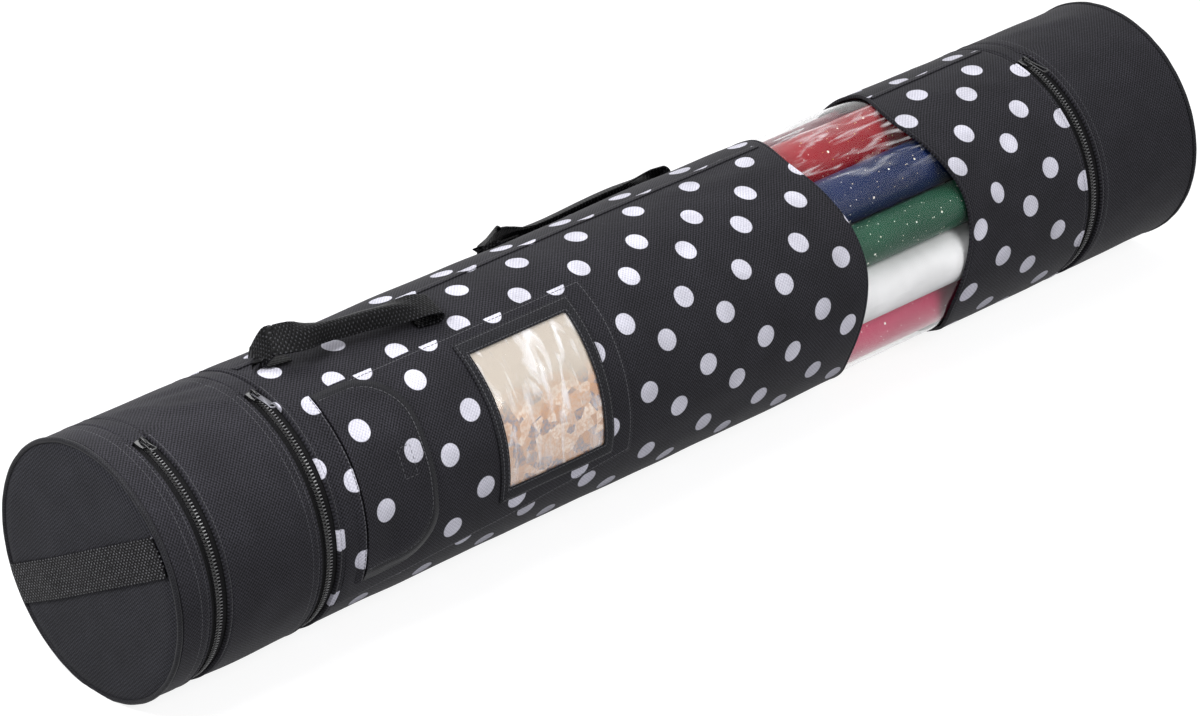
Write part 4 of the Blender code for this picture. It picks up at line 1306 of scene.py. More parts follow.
@dataclass(frozen=True)
class EndStrap:
    """Flat webbing across the near disc, its ends sewn in under the piping."""

    width: float = 0.0296
    thickness: float = 0.0015
    offset: float = 0.0013
    bow: float = 0.0031
    tilt: float = -29.4
    reach: float = 0.0938

    def build(self) -> None:
        """Make the strap."""
        half = self.reach
        shape = bmesh.new()
        bmesh.ops.create_grid(shape, x_segments=64, y_segments=12, size=0.5)
        bmesh.ops.scale(shape, verts=shape.verts, vec=(2 * half, self.width, 1.0))
        for corner in shape.verts:
            corner.co.x *= math.sqrt(1.0 - ((corner.co.y + self.offset) / half) ** 2)
        lay_flat(shape)
        thicken(shape, 0.0, self.thickness)
        round_edges(shape, 0.00045)
        for corner in shape.verts:
            share = corner.co.x / half
            ripple = 0.00035 * noise.noise(Vector((corner.co.x * 30.0, corner.co.y * 22.0, 4.0)))
            corner.co.z += self.bow * (1.0 - share**2) + ripple * (1.0 - share**4)
            corner.co.y += self.offset + 0.0004 * noise.noise(Vector((corner.co.x * 14.0, 0.0, 9.0)))
        face = Matrix(((0.0, 0.0, -1.0), (1.0, 0.0, 0.0), (0.0, 1.0, 0.0))).to_4x4()
        tilt = Matrix.Rotation(math.radians(self.tilt), 4, "X")
        place = Matrix.Translation((along(0.0003), AXIS_Y, AXIS_Z))
        bmesh.ops.transform(shape, matrix=place @ tilt @ face, verts=shape.verts)
        piece = finish_piece("lid_end_strap", shape, [STRAP_WEBBING], "lid", ["lid_end_strap"])


@dataclass
class Lid:
    """Shallow lid at the near end: its band, disc, strap and side of the first zip."""

    def build(self) -> None:
        """Make the lid."""
        Sleeve("lid_band", "lid", 0.0043, LID_END, BLACK_OXFORD, Slot.BLACK, hem_start=None,
               bow_end=zip_mouth(1.0)).build()
        EndDisc("lid_disc", "lid_piping", "lid", 0.0, -1.0).build()
        EndStrap().build()
        ZipHalf("lid_zip_half", "lid", LID_ZIP, -1.0).build()
        Stitches().ring("lid_topstitch", "lid", 0.0205, SEAM_ANGLE, 360.0)
        Stitches().hem("lid_hem_stitch", "lid", LID_END - HEM_STITCH)
        ClothHinge("lid_cloth_hinge", "lid", "section", LID_END, SECTION_START,
                   ("lid_hinge_strip", "section_hinge_strip_near")).build()


@dataclass
class Section:
    """Short black section between the first two zips, with a floor across it."""

    def build(self) -> None:
        """Make the section."""
        Sleeve("section_sleeve", "section", SECTION_START, SECTION_END, BLACK_OXFORD, Slot.BLACK,
               bow_start=zip_mouth(-1.0), bow_end=zip_mouth(1.0)).build()
        ZipHalf("section_zip_half_near", "section", LID_ZIP, 1.0).build()
        ZipHalf("section_zip_half_far", "section", NEAR_ZIP, -1.0).build()
        Stitches().ring("section_topstitch", "section", 0.1200, SEAM_ANGLE, 360.0)
        Stitches().hem("section_hem_stitch_near", "section", SECTION_START + HEM_STITCH)
        Stitches().hem("section_hem_stitch_far", "section", SECTION_END - HEM_STITCH)
        ClothHinge("section_cloth_hinge", "section", "tube", SECTION_END, BODY_START,
                   ("section_hinge_strip_far", "tube_hinge_strip_near")).build()
        self.build_floor()

    def build_floor(self) -> None:
        """Stiff lined floor that closes the section from the tube."""
        start, end, radius = 0.1207, 0.1232, 0.0938
        profile = [(start, 0.0), (start, radius * 0.5), (start, radius - 0.0008), (start + 0.0008, radius),
                   (end - 0.0008, radius), (end, radius - 0.0008), (end, radius * 0.5), (end, 0.0)]
        shape = spun(profile, closed=False, steps=96)
        bmesh.ops.remove_doubles(shape, verts=shape.verts, dist=0.00002)
        lay_disc(shape)
        for corner in shape.verts:
            corner.co.x += 0.0004 * noise.noise(Vector((corner.co.y * 18.0, corner.co.z * 18.0, 5.0)))
        piece = finish_piece("section_floor", shape, [LINING], "section", ["section_floor"])


@dataclass
class FarCap:
    """Deep black cap at the far end, with its side of the third zip."""

    def build(self) -> None:
        """Make the far cap."""
        Sleeve("cap_sleeve", "far_cap", FAR_CAP_START, 1.0357, BLACK_OXFORD, Slot.BLACK, hem_end=None,
               bow_start=zip_mouth(-1.0)).build()
        EndDisc("cap_disc", "cap_piping", "far_cap", BAG_LENGTH, 1.0).build()
        ZipHalf("cap_zip_half", "far_cap", FAR_ZIP, 1.0).build()
        ZipHalf("tube_zip_half_far", "tube", FAR_ZIP, -1.0).build()
        ZipHalf("tube_zip_half_near", "tube", NEAR_ZIP, 1.0).build()
        Stitches().hem("cap_hem_stitch", "far_cap", FAR_CAP_START + HEM_STITCH)
        Stitches().ring("cap_topstitch", "far_cap", FAR_CAP_START + 0.0080, SEAM_ANGLE, 360.0)
        Stitches().hem("tube_hem_stitch_near", "tube", BODY_START + HEM_STITCH)
        Stitches().hem("tube_hem_stitch_far", "tube", BODY_END - HEM_STITCH)
        ClothHinge("cap_cloth_hinge", "tube", "far_cap", BODY_END, FAR_CAP_START,
                   ("cap_hinge_strip", "tube_hinge_strip_far")).build()


def zip_mouth(side: float) -> Callable[[float], float]:
    """Function that draws a sleeve's edge in towards the zip where the zip's opening ends.

    Args:
        side: 1 for an edge that faces the far end, -1 for one that faces the near end.

    Returns:
        The bow at an angle.
    """
    def bow(angle: float) -> float:
        """Bow at one angle."""
        turned = angle % 360.0
        front = smooth((turned - 82.6) / 4.0) * smooth((126.0 - turned) / 4.0)
        return side * 0.0030 * front
    return bow


# Pocket on the front of the tube


def flat_patch(corners: Sequence[tuple[float, float]],
               hole: Sequence[tuple[float, float]] | None = None) -> Shape:
    """Flat cut piece of cloth.

    Args:
        corners: its outline, as (s, arc) points.
        hole: outline of a hole in it.

    Returns:
        The new shape, at height zero.
    """
    shape = bmesh.new()
    edges = []
    for outline in (corners, hole):
        if outline is not None:
            ring = [shape.verts.new((s, arc, 0.0)) for s, arc in outline]
            edges += [shape.edges.new((ring[i - 1], ring[i])) for i in range(len(ring))]
    bmesh.ops.triangle_fill(shape, use_beauty=True, use_dissolve=True, edges=edges)
    return shape


def crosscut(shape: Shape, step_s: float, step_arc: float) -> None:
    """Cut a flat shape into small squares, so that it can bend."""
    for axis, step in ((0, step_s), (1, step_arc)):
        places = [corner.co[axis] for corner in shape.verts]
        low, high = min(places), max(places)
        count = max(int((high - low) / step), 1)
        for i in range(1, count):
            point, normal = [0.0, 0.0, 0.0], [0.0, 0.0, 0.0]
            point[axis] = low + (high - low) * i / count
            normal[axis] = 1.0
            bmesh.ops.bisect_plane(shape, geom=list(shape.verts) + list(shape.edges) + list(shape.faces),
                                   dist=0.00005, plane_co=point, plane_no=normal)


def cut_cloth(outline: Sequence[tuple[float, float]], cells: tuple[float, float], heights: tuple[float, float],
              hole: Sequence[tuple[float, float]] | None = None) -> Shape:
    """Flat piece of cloth with its cloth coordinates and its thickness, ready to be rolled round the tube.

    Args:
        outline: its outline, as (s, arc) points.
        cells: size of the cells that it is cut across into, so that it can bend.
        heights: heights of its underside and its top.
        hole: outline of a hole.

    Returns:
        The new shape.
    """
    shape = flat_patch(outline, hole)
    crosscut(shape, *cells)
    lay_flat(shape)
    thicken(shape, *heights)
    return shape


def arc(angle: float) -> float:
    """Arc length from the front at an angle."""
    return math.radians(angle) * TUBE_RADIUS


def box_outline(start: float, end: float, low: float, high: float, radius: float = 0.0,
                steps: int = 6) -> list[tuple[float, float]]:
    """Outline of a block with round corners, in (s, arc) points.

    Args:
        start: s of the near side.
        end: s of the far side.
        low: lower angle.
        high: higher angle.
        radius: radius of the corners.
        steps: steps round each corner.

    Returns:
        The outline's points.
    """
    bottom, top = arc(low), arc(high)
    if radius <= 0.0:
        return [(start, bottom), (end, bottom), (end, top), (start, top)]
    outline = []
    for x, y, first in ((end, bottom, -90), (end, top, 0), (start, top, 90), (start, bottom, 180)):
        cx = x - radius if x == end else x + radius
        cy = y + radius if y == bottom else y - radius
        for i in range(steps + 1):
            turn = math.radians(first + 90.0 * i / steps)
            outline.append((cx + radius * math.cos(turn), cy + radius * math.sin(turn)))
    return outline


@dataclass(frozen=True)
class FlapCut:
    """Outline of the half-round flap, and how far a point lies inside it."""

    start: float = 0.1675
    reach: float = 0.0660
    low: float = -21.0
    high: float = 66.0
    corner: float = 0.0390

    def inside(self, s: float, height: float) -> float:
        """Distance from a point in the flap to its free edge."""
        half = (arc(self.high) - arc(self.low)) / 2
        off = abs(height - (arc(self.high) + arc(self.low)) / 2)
        run = s - self.start
        dx, dy = run - (self.reach - self.corner), off - (half - self.corner)
        if dx > 0.0 and dy > 0.0:
            return self.corner - math.hypot(dx, dy)
        return min(self.reach - run, half - off)

    def binding(self, angle: float) -> float:
        """Width of the binding at an angle; towards the flap's lower corner, where its curled edge lies in shadow, the
        dark binding is widened as painted shade.
        """
        return 0.0068 + 0.0045 * smooth((8.0 - angle) / 20.0)

    def outline(self, steps: int = 16) -> list[tuple[float, float]]:
        """The flap's outline, from the hinge's lower end round to its upper end."""
        low, high, end = arc(self.low), arc(self.high), self.start + self.reach
        line = [(self.start, high), (self.start, low)]
        for cy, first in ((low + self.corner, -90), (high - self.corner, 0)):
            for i in range(steps + 1):
                turn = math.radians(first + 90.0 * i / steps)
                line.append((end - self.corner + self.corner * math.cos(turn), cy + self.corner * math.sin(turn)))
        return line


@dataclass
class Pocket:
    """Flat pocket sewn on the front: panel, slit with its flap, touch pads and the card window.

    Attributes:
        panel_start: s of the panel's near edge.
        panel_end: s of its far edge.
        panel_low: angles of its lower corners, near and far.
        panel_high: angles of its upper corners.
        panel_top: height of its face over the tube.
        gap: room between two layers of cloth.
        flap_low: height of the flap's underside.
        flap_high: height of its face.
        hem_start: s where the hem that holds the flap begins.
        hem_end: s where it ends.
        hem_line: s of its stitches.
        hem_cloth_end: s up to which the panel shows the hem's cloth.
        pad_box: outline of the touch pads, as two s and two angles.
        card_box: outline of the card.
        film_box: outline of the film over it.
        frame_outer: the card frame's outer outline.
        frame_inner: outline of the frame's hole.
        frame_low: height of the frame's underside over the panel's face.
        frame_high: height of its top over the panel's face.
        cut: outline of the flap.
    """

    panel_start: float = 0.1492
    panel_end: float = 0.4225
    panel_low: tuple[float, float] = (-33.0, -17.0)
    panel_high: tuple[float, float] = (67.6, 66.9)
    panel_top: float = 0.0012
    gap: float = 0.0003
    flap_low: float = 0.0031
    flap_high: float = 0.0040
    hem_start: float = 0.1606
    hem_end: float = 0.1662
    hem_line: float = 0.1652
    hem_cloth_end: float = 0.1664
    pad_box: tuple[float, float, float, float] = (0.2050, 0.2180, 18.0, 32.0)
    card_box: tuple[float, float, float, float] = (0.2985, 0.3940, -8.0, 57.0)
    film_box: tuple[float, float, float, float] = (0.2990, 0.3935, -7.5, 56.5)
    frame_outer: tuple[float, float, float, float] = (0.2930, 0.4025, -12.5, 61.5)
    frame_inner: tuple[float, float, float, float] = (0.3005, 0.3925, -5.5, 54.5)
    frame_low: float = 0.0016
    frame_high: float = 0.0024
    cut: FlapCut = FlapCut()

    def build(self) -> None:
        """Make the pocket's pieces."""
        self.build_panel()
        self.build_flap()
        self.build_pads()
        self.build_card()

    def build_panel(self) -> None:
        """Dotted panel with a slit behind the flap, its edges turned under."""
        corners = [(self.panel_start, arc(self.panel_low[0])), (self.panel_end, arc(self.panel_low[1])),
                   (self.panel_end, arc(self.panel_high[1])), (self.panel_start, arc(self.panel_high[0]))]
        slit = box_outline(0.1690, 0.1745, -9.0, 54.0, 0.0015, 3)
        shape = flat_patch(corners, slit)
        crosscut(shape, 0.0065, 0.0040)
        bmesh.ops.bisect_plane(shape, geom=list(shape.verts) + list(shape.edges) + list(shape.faces), dist=0.00005,
                               plane_co=(self.hem_cloth_end, 0.0, 0.0), plane_no=(1.0, 0.0, 0.0))
        lay_flat(shape)
        for face in shape.faces:
            face.material_index = 1 if face.calc_center_median().x < self.hem_cloth_end else 0
        thicken(shape, self.gap, self.panel_top)
        round_edges(shape, 0.00035)
        wrap(shape, self.panel_drop)
        piece = finish_piece("pocket_panel", shape, [PANEL_OXFORD, HEM_OXFORD], "tube",
                             ["pocket_panel"])
        inset = 0.0028
        line = [(0.1700, corners[0][1] + inset), (self.panel_end - inset, corners[1][1] + inset),
                (self.panel_end - inset, corners[2][1] - inset), (0.1600, corners[3][1] - inset)]
        Stitches().path("pocket_topstitch", "tube", [line[:2], line[1:3], line[2:]], on_cloth(self.panel_top))

    def panel_drop(self, s: float, _angle: float) -> float:
        """How far the panel's near edge is sewn down to the tube."""
        return -0.0008 * (1.0 - smooth((s - self.panel_start) / 0.006))

    def flap_drop(self, s: float, angle: float) -> float:
        """How far the flap's edge bends down to the panel, with the give of its binding."""
        inside = self.cut.inside(s, arc(angle))
        ring = self.cut.binding(angle)
        down = -0.0014 * (1.0 - smooth(inside / (0.8 * ring)))
        groove = -0.0007 * math.exp(-(((inside - ring) / 0.0011) ** 2)) * smooth((s - self.cut.start) / 0.012)
        wave = 0.0011 * noise.noise(Vector((s * 40.0, arc(angle) * 40.0, 6.0))) * smooth((s - self.cut.start) / 0.02)
        curl = 0.0022 * math.exp(-(((angle + 8.0) / 9.0) ** 2)) * smooth((s - 0.188) / 0.03)
        return down + groove + (wave + curl) * smooth(inside / 0.004 + 0.4)

    def on_flap(self, s: float, height: float) -> Vector:
        """Place of an (s, arc) point on top of the flap."""
        angle = math.degrees(height / TUBE_RADIUS)
        return polar(s, angle, TUBE_RADIUS + swell(s, angle) + self.flap_high + self.flap_drop(s, angle))

    def build_flap(self) -> None:
        """Half-round flap with a bound edge, and the hem that holds it."""
        shape = bmesh.new()
        shape.faces.new([shape.verts.new((s, height, 0.0)) for s, height in self.cut.outline()])
        crosscut(shape, 0.0016, 0.0018)
        lay_flat(shape)
        for face in shape.faces:
            middle = face.calc_center_median()
            # Faces within the binding's width take the dark binding cloth; its extra width at the lower corner is
            # painted shade
            if self.cut.inside(middle.x, middle.y) < self.cut.binding(math.degrees(middle.y / TUBE_RADIUS)):
                face.material_index = 1
            elif middle.x > 0.2050 and middle.y < 0.0360:
                face.material_index = 2
        thicken(shape, self.flap_low, self.flap_high)
        round_edges(shape, 0.00035)
        wrap(shape, self.flap_drop)
        finishes = [FLAP_OXFORD, EDGE_BINDING, BLACK_OXFORD]
        piece = finish_piece("pocket_flap", shape, finishes, "flap", ["pocket_flap"])
        middle_s, middle_h = 0.1900, arc(22.5)
        line = []
        for s, height in self.cut.outline()[2:]:
            away = Vector((s - middle_s, height - middle_h))
            near = Vector((s, height)) - away.normalized() * self.cut.binding(math.degrees(height / TUBE_RADIUS))
            line.append((near.x, near.y))
        line = [(self.cut.start + 0.002, line[0][1])] + line + [(self.cut.start + 0.002, line[-1][1])]
        Stitches().path("flap_binding_stitch", "flap", [line], self.on_flap)
        hem = cut_cloth(box_outline(self.hem_start, self.hem_end, self.cut.low, self.cut.high),
                        (0.0009, 0.0040), (0.0, self.gap))
        for corner in hem.verts:
            rise = self.flap_high - self.panel_top - self.gap - HEM_SINK
            rise *= smooth((corner.co.x - self.hem_start) / 0.0050)
            corner.co.z = self.panel_top + (0.0001 if corner.co.z < self.gap / 2 else self.gap + rise)
        round_edges(hem, 0.0003, 60.0)
        wrap(hem)
        finish_piece("flap_hem", hem, [HEM_OXFORD], "tube", ["flap_hem"])
        line = [(self.hem_line, arc(self.cut.low + 1.0)), (self.hem_line, arc(self.cut.high - 1.0))]
        Stitches().path("flap_hem_stitch", "tube", [line], on_cloth(self.flap_high - HEM_SINK))

    def build_pads(self) -> None:
        """Hook and loop pads that hold the flap shut."""
        for name, body, low, high in (("panel_loop_pad", "tube", 0.0015, 0.0020),
                                      ("flap_hook_pad", "flap", 0.0023, 0.0028)):
            pad = cut_cloth(box_outline(*self.pad_box, 0.0012, 3), (0.0026, 0.0026), (low, high))
            wrap(pad)
            finish_piece(name, pad, [HOOK_PILE], body, [name])
        low, high = arc(18.7), arc(31.3)
        line = [(0.2060, high), (0.2060, low), (0.2172, low), (0.2172, high), (0.2060, high)]
        Stitches(pitch=0.0042, length=0.0026, width=0.0004).path("flap_pad_stitch", "flap", [line], self.on_flap)

    def build_card(self) -> None:
        """Bound window with a printed card behind clear film."""
        card = cut_cloth(box_outline(*self.card_box, 0.001, 2), (0.0050, 0.0040),
                         (self.panel_top + self.gap, self.panel_top + 0.0007))
        wrap(card)
        paper = finish_piece("card", card, [CARD_PRINT], "tube", ["card"])
        film = cut_cloth(box_outline(*self.film_box, 0.001, 2), (0.0026, 0.0026),
                         (self.panel_top + 0.0009, self.panel_top + 0.0012))
        wrap(film, self.crinkle)
        clear = finish_piece("card_film", film, [CARD_FILM], "tube", ["card_film"])
        rim = cut_cloth(box_outline(*self.frame_outer, 0.0012, 3), (0.0040, 0.0040),
                        (self.panel_top + self.frame_low, self.panel_top + self.frame_high),
                        box_outline(*self.frame_inner, 0.0012, 3))
        round_edges(rim, 0.00032)
        wrap(rim, self.rim_drop)
        finish_piece("card_frame", rim, [FRAME_OXFORD], "tube", ["card_frame"])
        for name, inset, square in (("card_outer_stitch", 0.0020, self.frame_outer),
                                    ("card_inner_stitch", -0.0016, self.frame_inner)):
            start, end, low, high = square
            turn = math.degrees(inset / TUBE_RADIUS)
            ring = box_outline(start + inset, end - inset, low + turn, high - turn)
            Stitches(pitch=0.0034, length=0.0024, width=0.0005).path(name, "tube", [ring + ring[:1]], self.on_rim)

    def on_rim(self, s: float, height: float) -> Vector:
        """Place of an (s, arc) point on top of the card's frame."""
        angle = math.degrees(height / TUBE_RADIUS)
        base = TUBE_RADIUS + swell(s, angle) + self.panel_top + self.frame_high
        return polar(s, angle, base + self.rim_drop(s, angle))

    def rim_drop(self, s: float, angle: float) -> float:
        """How far the frame's outer edge is sewn down to the panel."""
        start, end, low, high = self.frame_outer
        height = arc(angle)
        inside = min(s - start, end - s, height - arc(low), arc(high) - height)
        uneven = 0.0002 * noise.noise(Vector((s * 80.0, height * 80.0, 2.0)))
        return -0.0010 * (1.0 - smooth(inside / 0.0035)) + uneven

    def crinkle(self, s: float, angle: float) -> float:
        """Crinkles of the film."""
        spot = Vector((s * 55.0 + arc(angle) * 16.0, arc(angle) * 26.0, 3.0))
        return 0.0007 * (1.0 - abs(noise.noise(spot)) * 2.4) * 0.6


# Webbing handles


@dataclass(frozen=True)
class Station:
    """Place on a handle's webbing.

    Attributes:
        place: middle of the webbing.
        across: direction across it.
        fold: how far each half bends down, in degrees.
    """

    place: Vector
    across: Vector
    fold: float


@dataclass(frozen=True)
class Handle:
    """Webbing handle: two sewn tabs, a turn upwards at each, and a grip folded lengthwise between.

    Attributes:
        name: body of the grip, and start of the pieces' names.
        start: s of its near end.
        length: distance between its ends.
        near_angle: angle of its near end.
        far_angle: angle of its far end.
        base: height of the near tab over the tube.
        arch: height of the arch over the line between the ends.
        lean: how far the arch leans over.
        roll: how far the folded grip is rolled.
        crease: how far each half of the webbing bends down.
        width: width of the flat webbing.
        thickness: thickness of the webbing.
        axis_height: height over the tube of the line that the handle flops about.
        tab: length of a sewn tab.
        foot: height over that line where the grip leaves its tabs.
        far_base: height of the far tab over the tube.
        skew: how far the top of the arch lies towards the near end (1 is the middle).
        dip: share by which the grip sags behind the top of the arch.
    """

    name: str
    start: float
    length: float
    near_angle: float
    far_angle: float
    base: float
    arch: float
    lean: float
    roll: float
    crease: float
    width: float = 0.0250
    thickness: float = 0.0017
    axis_height: float = 0.0060
    tab: float = 0.0215
    foot: float = 0.0030
    far_base: float = 0.0003
    skew: float = 0.55
    dip: float = 0.0
    settle: float = 0.0240
    twist: float = 0.0240

    def ends(self) -> tuple[Vector, Vector]:
        """The two points that the handle flops about."""
        return (polar(self.start, self.near_angle, TUBE_RADIUS + self.axis_height),
                polar(self.start + self.length, self.far_angle, TUBE_RADIUS + self.axis_height))

    def stations(self) -> list[Station]:
        """Places along the webbing, from the near tab's inner end to the far one's."""
        near, far = self.ends()
        run = (far - near).normalized()
        span = (far - near).length
        keys = []
        for x, height in self.tab_line(self.base, (270, 240, 210, 180, 160)):
            up = self.square(radial(self.near_angle), run)
            keys.append(Station(near + run * x + up * height, run.cross(up), 0.0))
        gap = self.thickness + 0.0008
        for share in (0.035, 0.06, 0.10, 0.15, 0.21, 0.28, 0.36, 0.44, 0.52, 0.60, 0.68, 0.76, 0.83, 0.89, 0.93):
            rise = math.sin(math.pi * share**self.skew) * (1.0 - self.dip * math.exp(-(((share - 0.42) / 0.16) ** 2)))
            base_up = self.square(radial(self.near_angle + (self.far_angle - self.near_angle) * share), run)
            up = Matrix.Rotation(math.radians(self.lean * rise), 3, run) @ base_up
            over = Matrix.Rotation(math.radians(self.roll * rise), 3, run) @ base_up
            place = near + run * (gap + (span - 2 * gap) * share) + up * (self.foot + (self.arch - self.foot) * rise)
            x = share * span
            fold = self.crease * smooth((x - 0.016) / 0.034) * smooth((span - x - 0.010) / 0.034)
            keys.append(Station(place, run.cross(over).normalized(), fold))
        for x, height in reversed(self.tab_line(self.far_base, (270, 240, 210, 180, 150, 120, 90))):
            up = self.square(radial(self.far_angle), run)
            keys.append(Station(far - run * x + up * height, run.cross(up), 0.0))
        return self.refine(keys)

    def tab_line(self, base: float, angles: Sequence[float]) -> list[tuple[float, float]]:
        """Line of a sewn tab and of the turn where its webbing folds back.

        Args:
            base: height of the tab over the tube.
            angles: where the turn has its points, in degrees.

        Returns:
            Distances from the handle's end, each with its height, from the tab's inner end on.
        """
        low = base - self.axis_height + self.thickness / 2
        radius = (self.foot - low) / 2
        x, height = radius + self.thickness / 2, low + radius
        line = [(self.tab, low), (self.tab * 0.6, low), (x + 0.002, low)]
        for turn in map(math.radians, angles):
            line.append((x + radius * math.cos(turn), height + radius * math.sin(turn)))
        return line

    def square(self, up: Vector, run: Vector) -> Vector:
        """Direction up made square to the handle's line."""
        return (up - run * up.dot(run)).normalized()

    def refine(self, keys: list[Station], finer: int = 5) -> list[Station]:
        """Smooth the stations along a curve that passes through them all."""
        line = []
        for i in range(len(keys) - 1):
            p0, p1 = keys[max(i - 1, 0)], keys[i]
            p2, p3 = keys[i + 1], keys[min(i + 2, len(keys) - 1)]
            for j in range(finer):
                t = j / finer
                place = 0.5 * (p1.place * 2 + (p2.place - p0.place) * t
                               + (p0.place * 2 - p1.place * 5 + p2.place * 4 - p3.place) * t * t
                               + (p1.place * 3 - p0.place - p2.place * 3 + p3.place) * t**3)
                across = p1.across.lerp(p2.across, t).normalized()
                line.append(Station(place, across, p1.fold + (p2.fold - p1.fold) * t))
        return line + [keys[-1]]

    def section(self, wide: float, fold: float) -> tuple[float, float, float]:
        """Place across the folded webbing.

        Args:
            wide: distance from the middle line on the flat webbing.
            fold: how far each half bends down, in degrees.

        Returns:
            The offset across, the offset up, and the slope in radians.
        """
        soft = 0.0035
        most = math.radians(fold)
        size, sign = abs(wide), math.copysign(1.0, wide)
        bent = min(size, soft)
        slope = most * bent / soft
        across = bent if most < 1e-4 else soft / most * math.sin(slope)
        down = 0.0 if most < 1e-4 else soft / most * (1.0 - math.cos(slope))
        if size > soft:
            across += (size - soft) * math.cos(most)
            down += (size - soft) * math.sin(most)
        lift = 0.30 * (self.width / 2) * math.sin(most)
        return sign * across, lift - down, -sign * slope

    def build(self) -> None:
        """Make the handle in two halves, which meet in the middle of the grip."""
        stations = self.stations()
        reach = [0.0]
        for first, second in zip(stations, stations[1:]):
            reach.append(reach[-1] + (second.place - first.place).length)
        halfway = max(i for i, value in enumerate(reach) if value <= reach[-1] / 2)
        for end, first, last, nodes in (("near", 0, halfway, ("near_end", "grip")),
                                        ("far", halfway, len(stations) - 1, ("far_end",))):
            shape = bmesh.new()
            bmesh.ops.create_grid(shape, x_segments=last - first, y_segments=14, size=0.5)
            for corner in shape.verts:
                corner.co.x = reach[first + round((corner.co.x + 0.5) * (last - first))]
                corner.co.y *= self.width
            lay_flat(shape)
            thicken(shape, 0.0, self.thickness)
            for corner in shape.verts:
                index = min(range(first, last + 1), key=lambda i: abs(reach[i] - corner.co.x))
                here = stations[index]
                before, after = stations[max(index - 1, 0)], stations[min(index + 1, len(stations) - 1)]
                ahead = (after.place - before.place).normalized()
                across = (here.across - ahead * here.across.dot(ahead)).normalized()
                over = ahead.cross(across) * -1.0
                wide = corner.co.y
                side, up, slope = self.section(wide, here.fold)
                normal = over * math.cos(slope) - across * math.sin(slope)
                edge = 1.0 - 0.35 * smooth((abs(wide) - self.width / 2 + 0.0015) / 0.0015)
                corner.co = here.place + across * side + over * up + normal * (corner.co.z - self.thickness / 2) * edge
            piece = finish_piece(f"{self.name}_{end}_webbing", shape, [HANDLE_WEBBING], None,
                                 [f"{self.name}_{node}" for node in nodes])
            if end == "near":
                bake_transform(piece)
            else:
                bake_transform(piece)


# Zip sliders and pulls


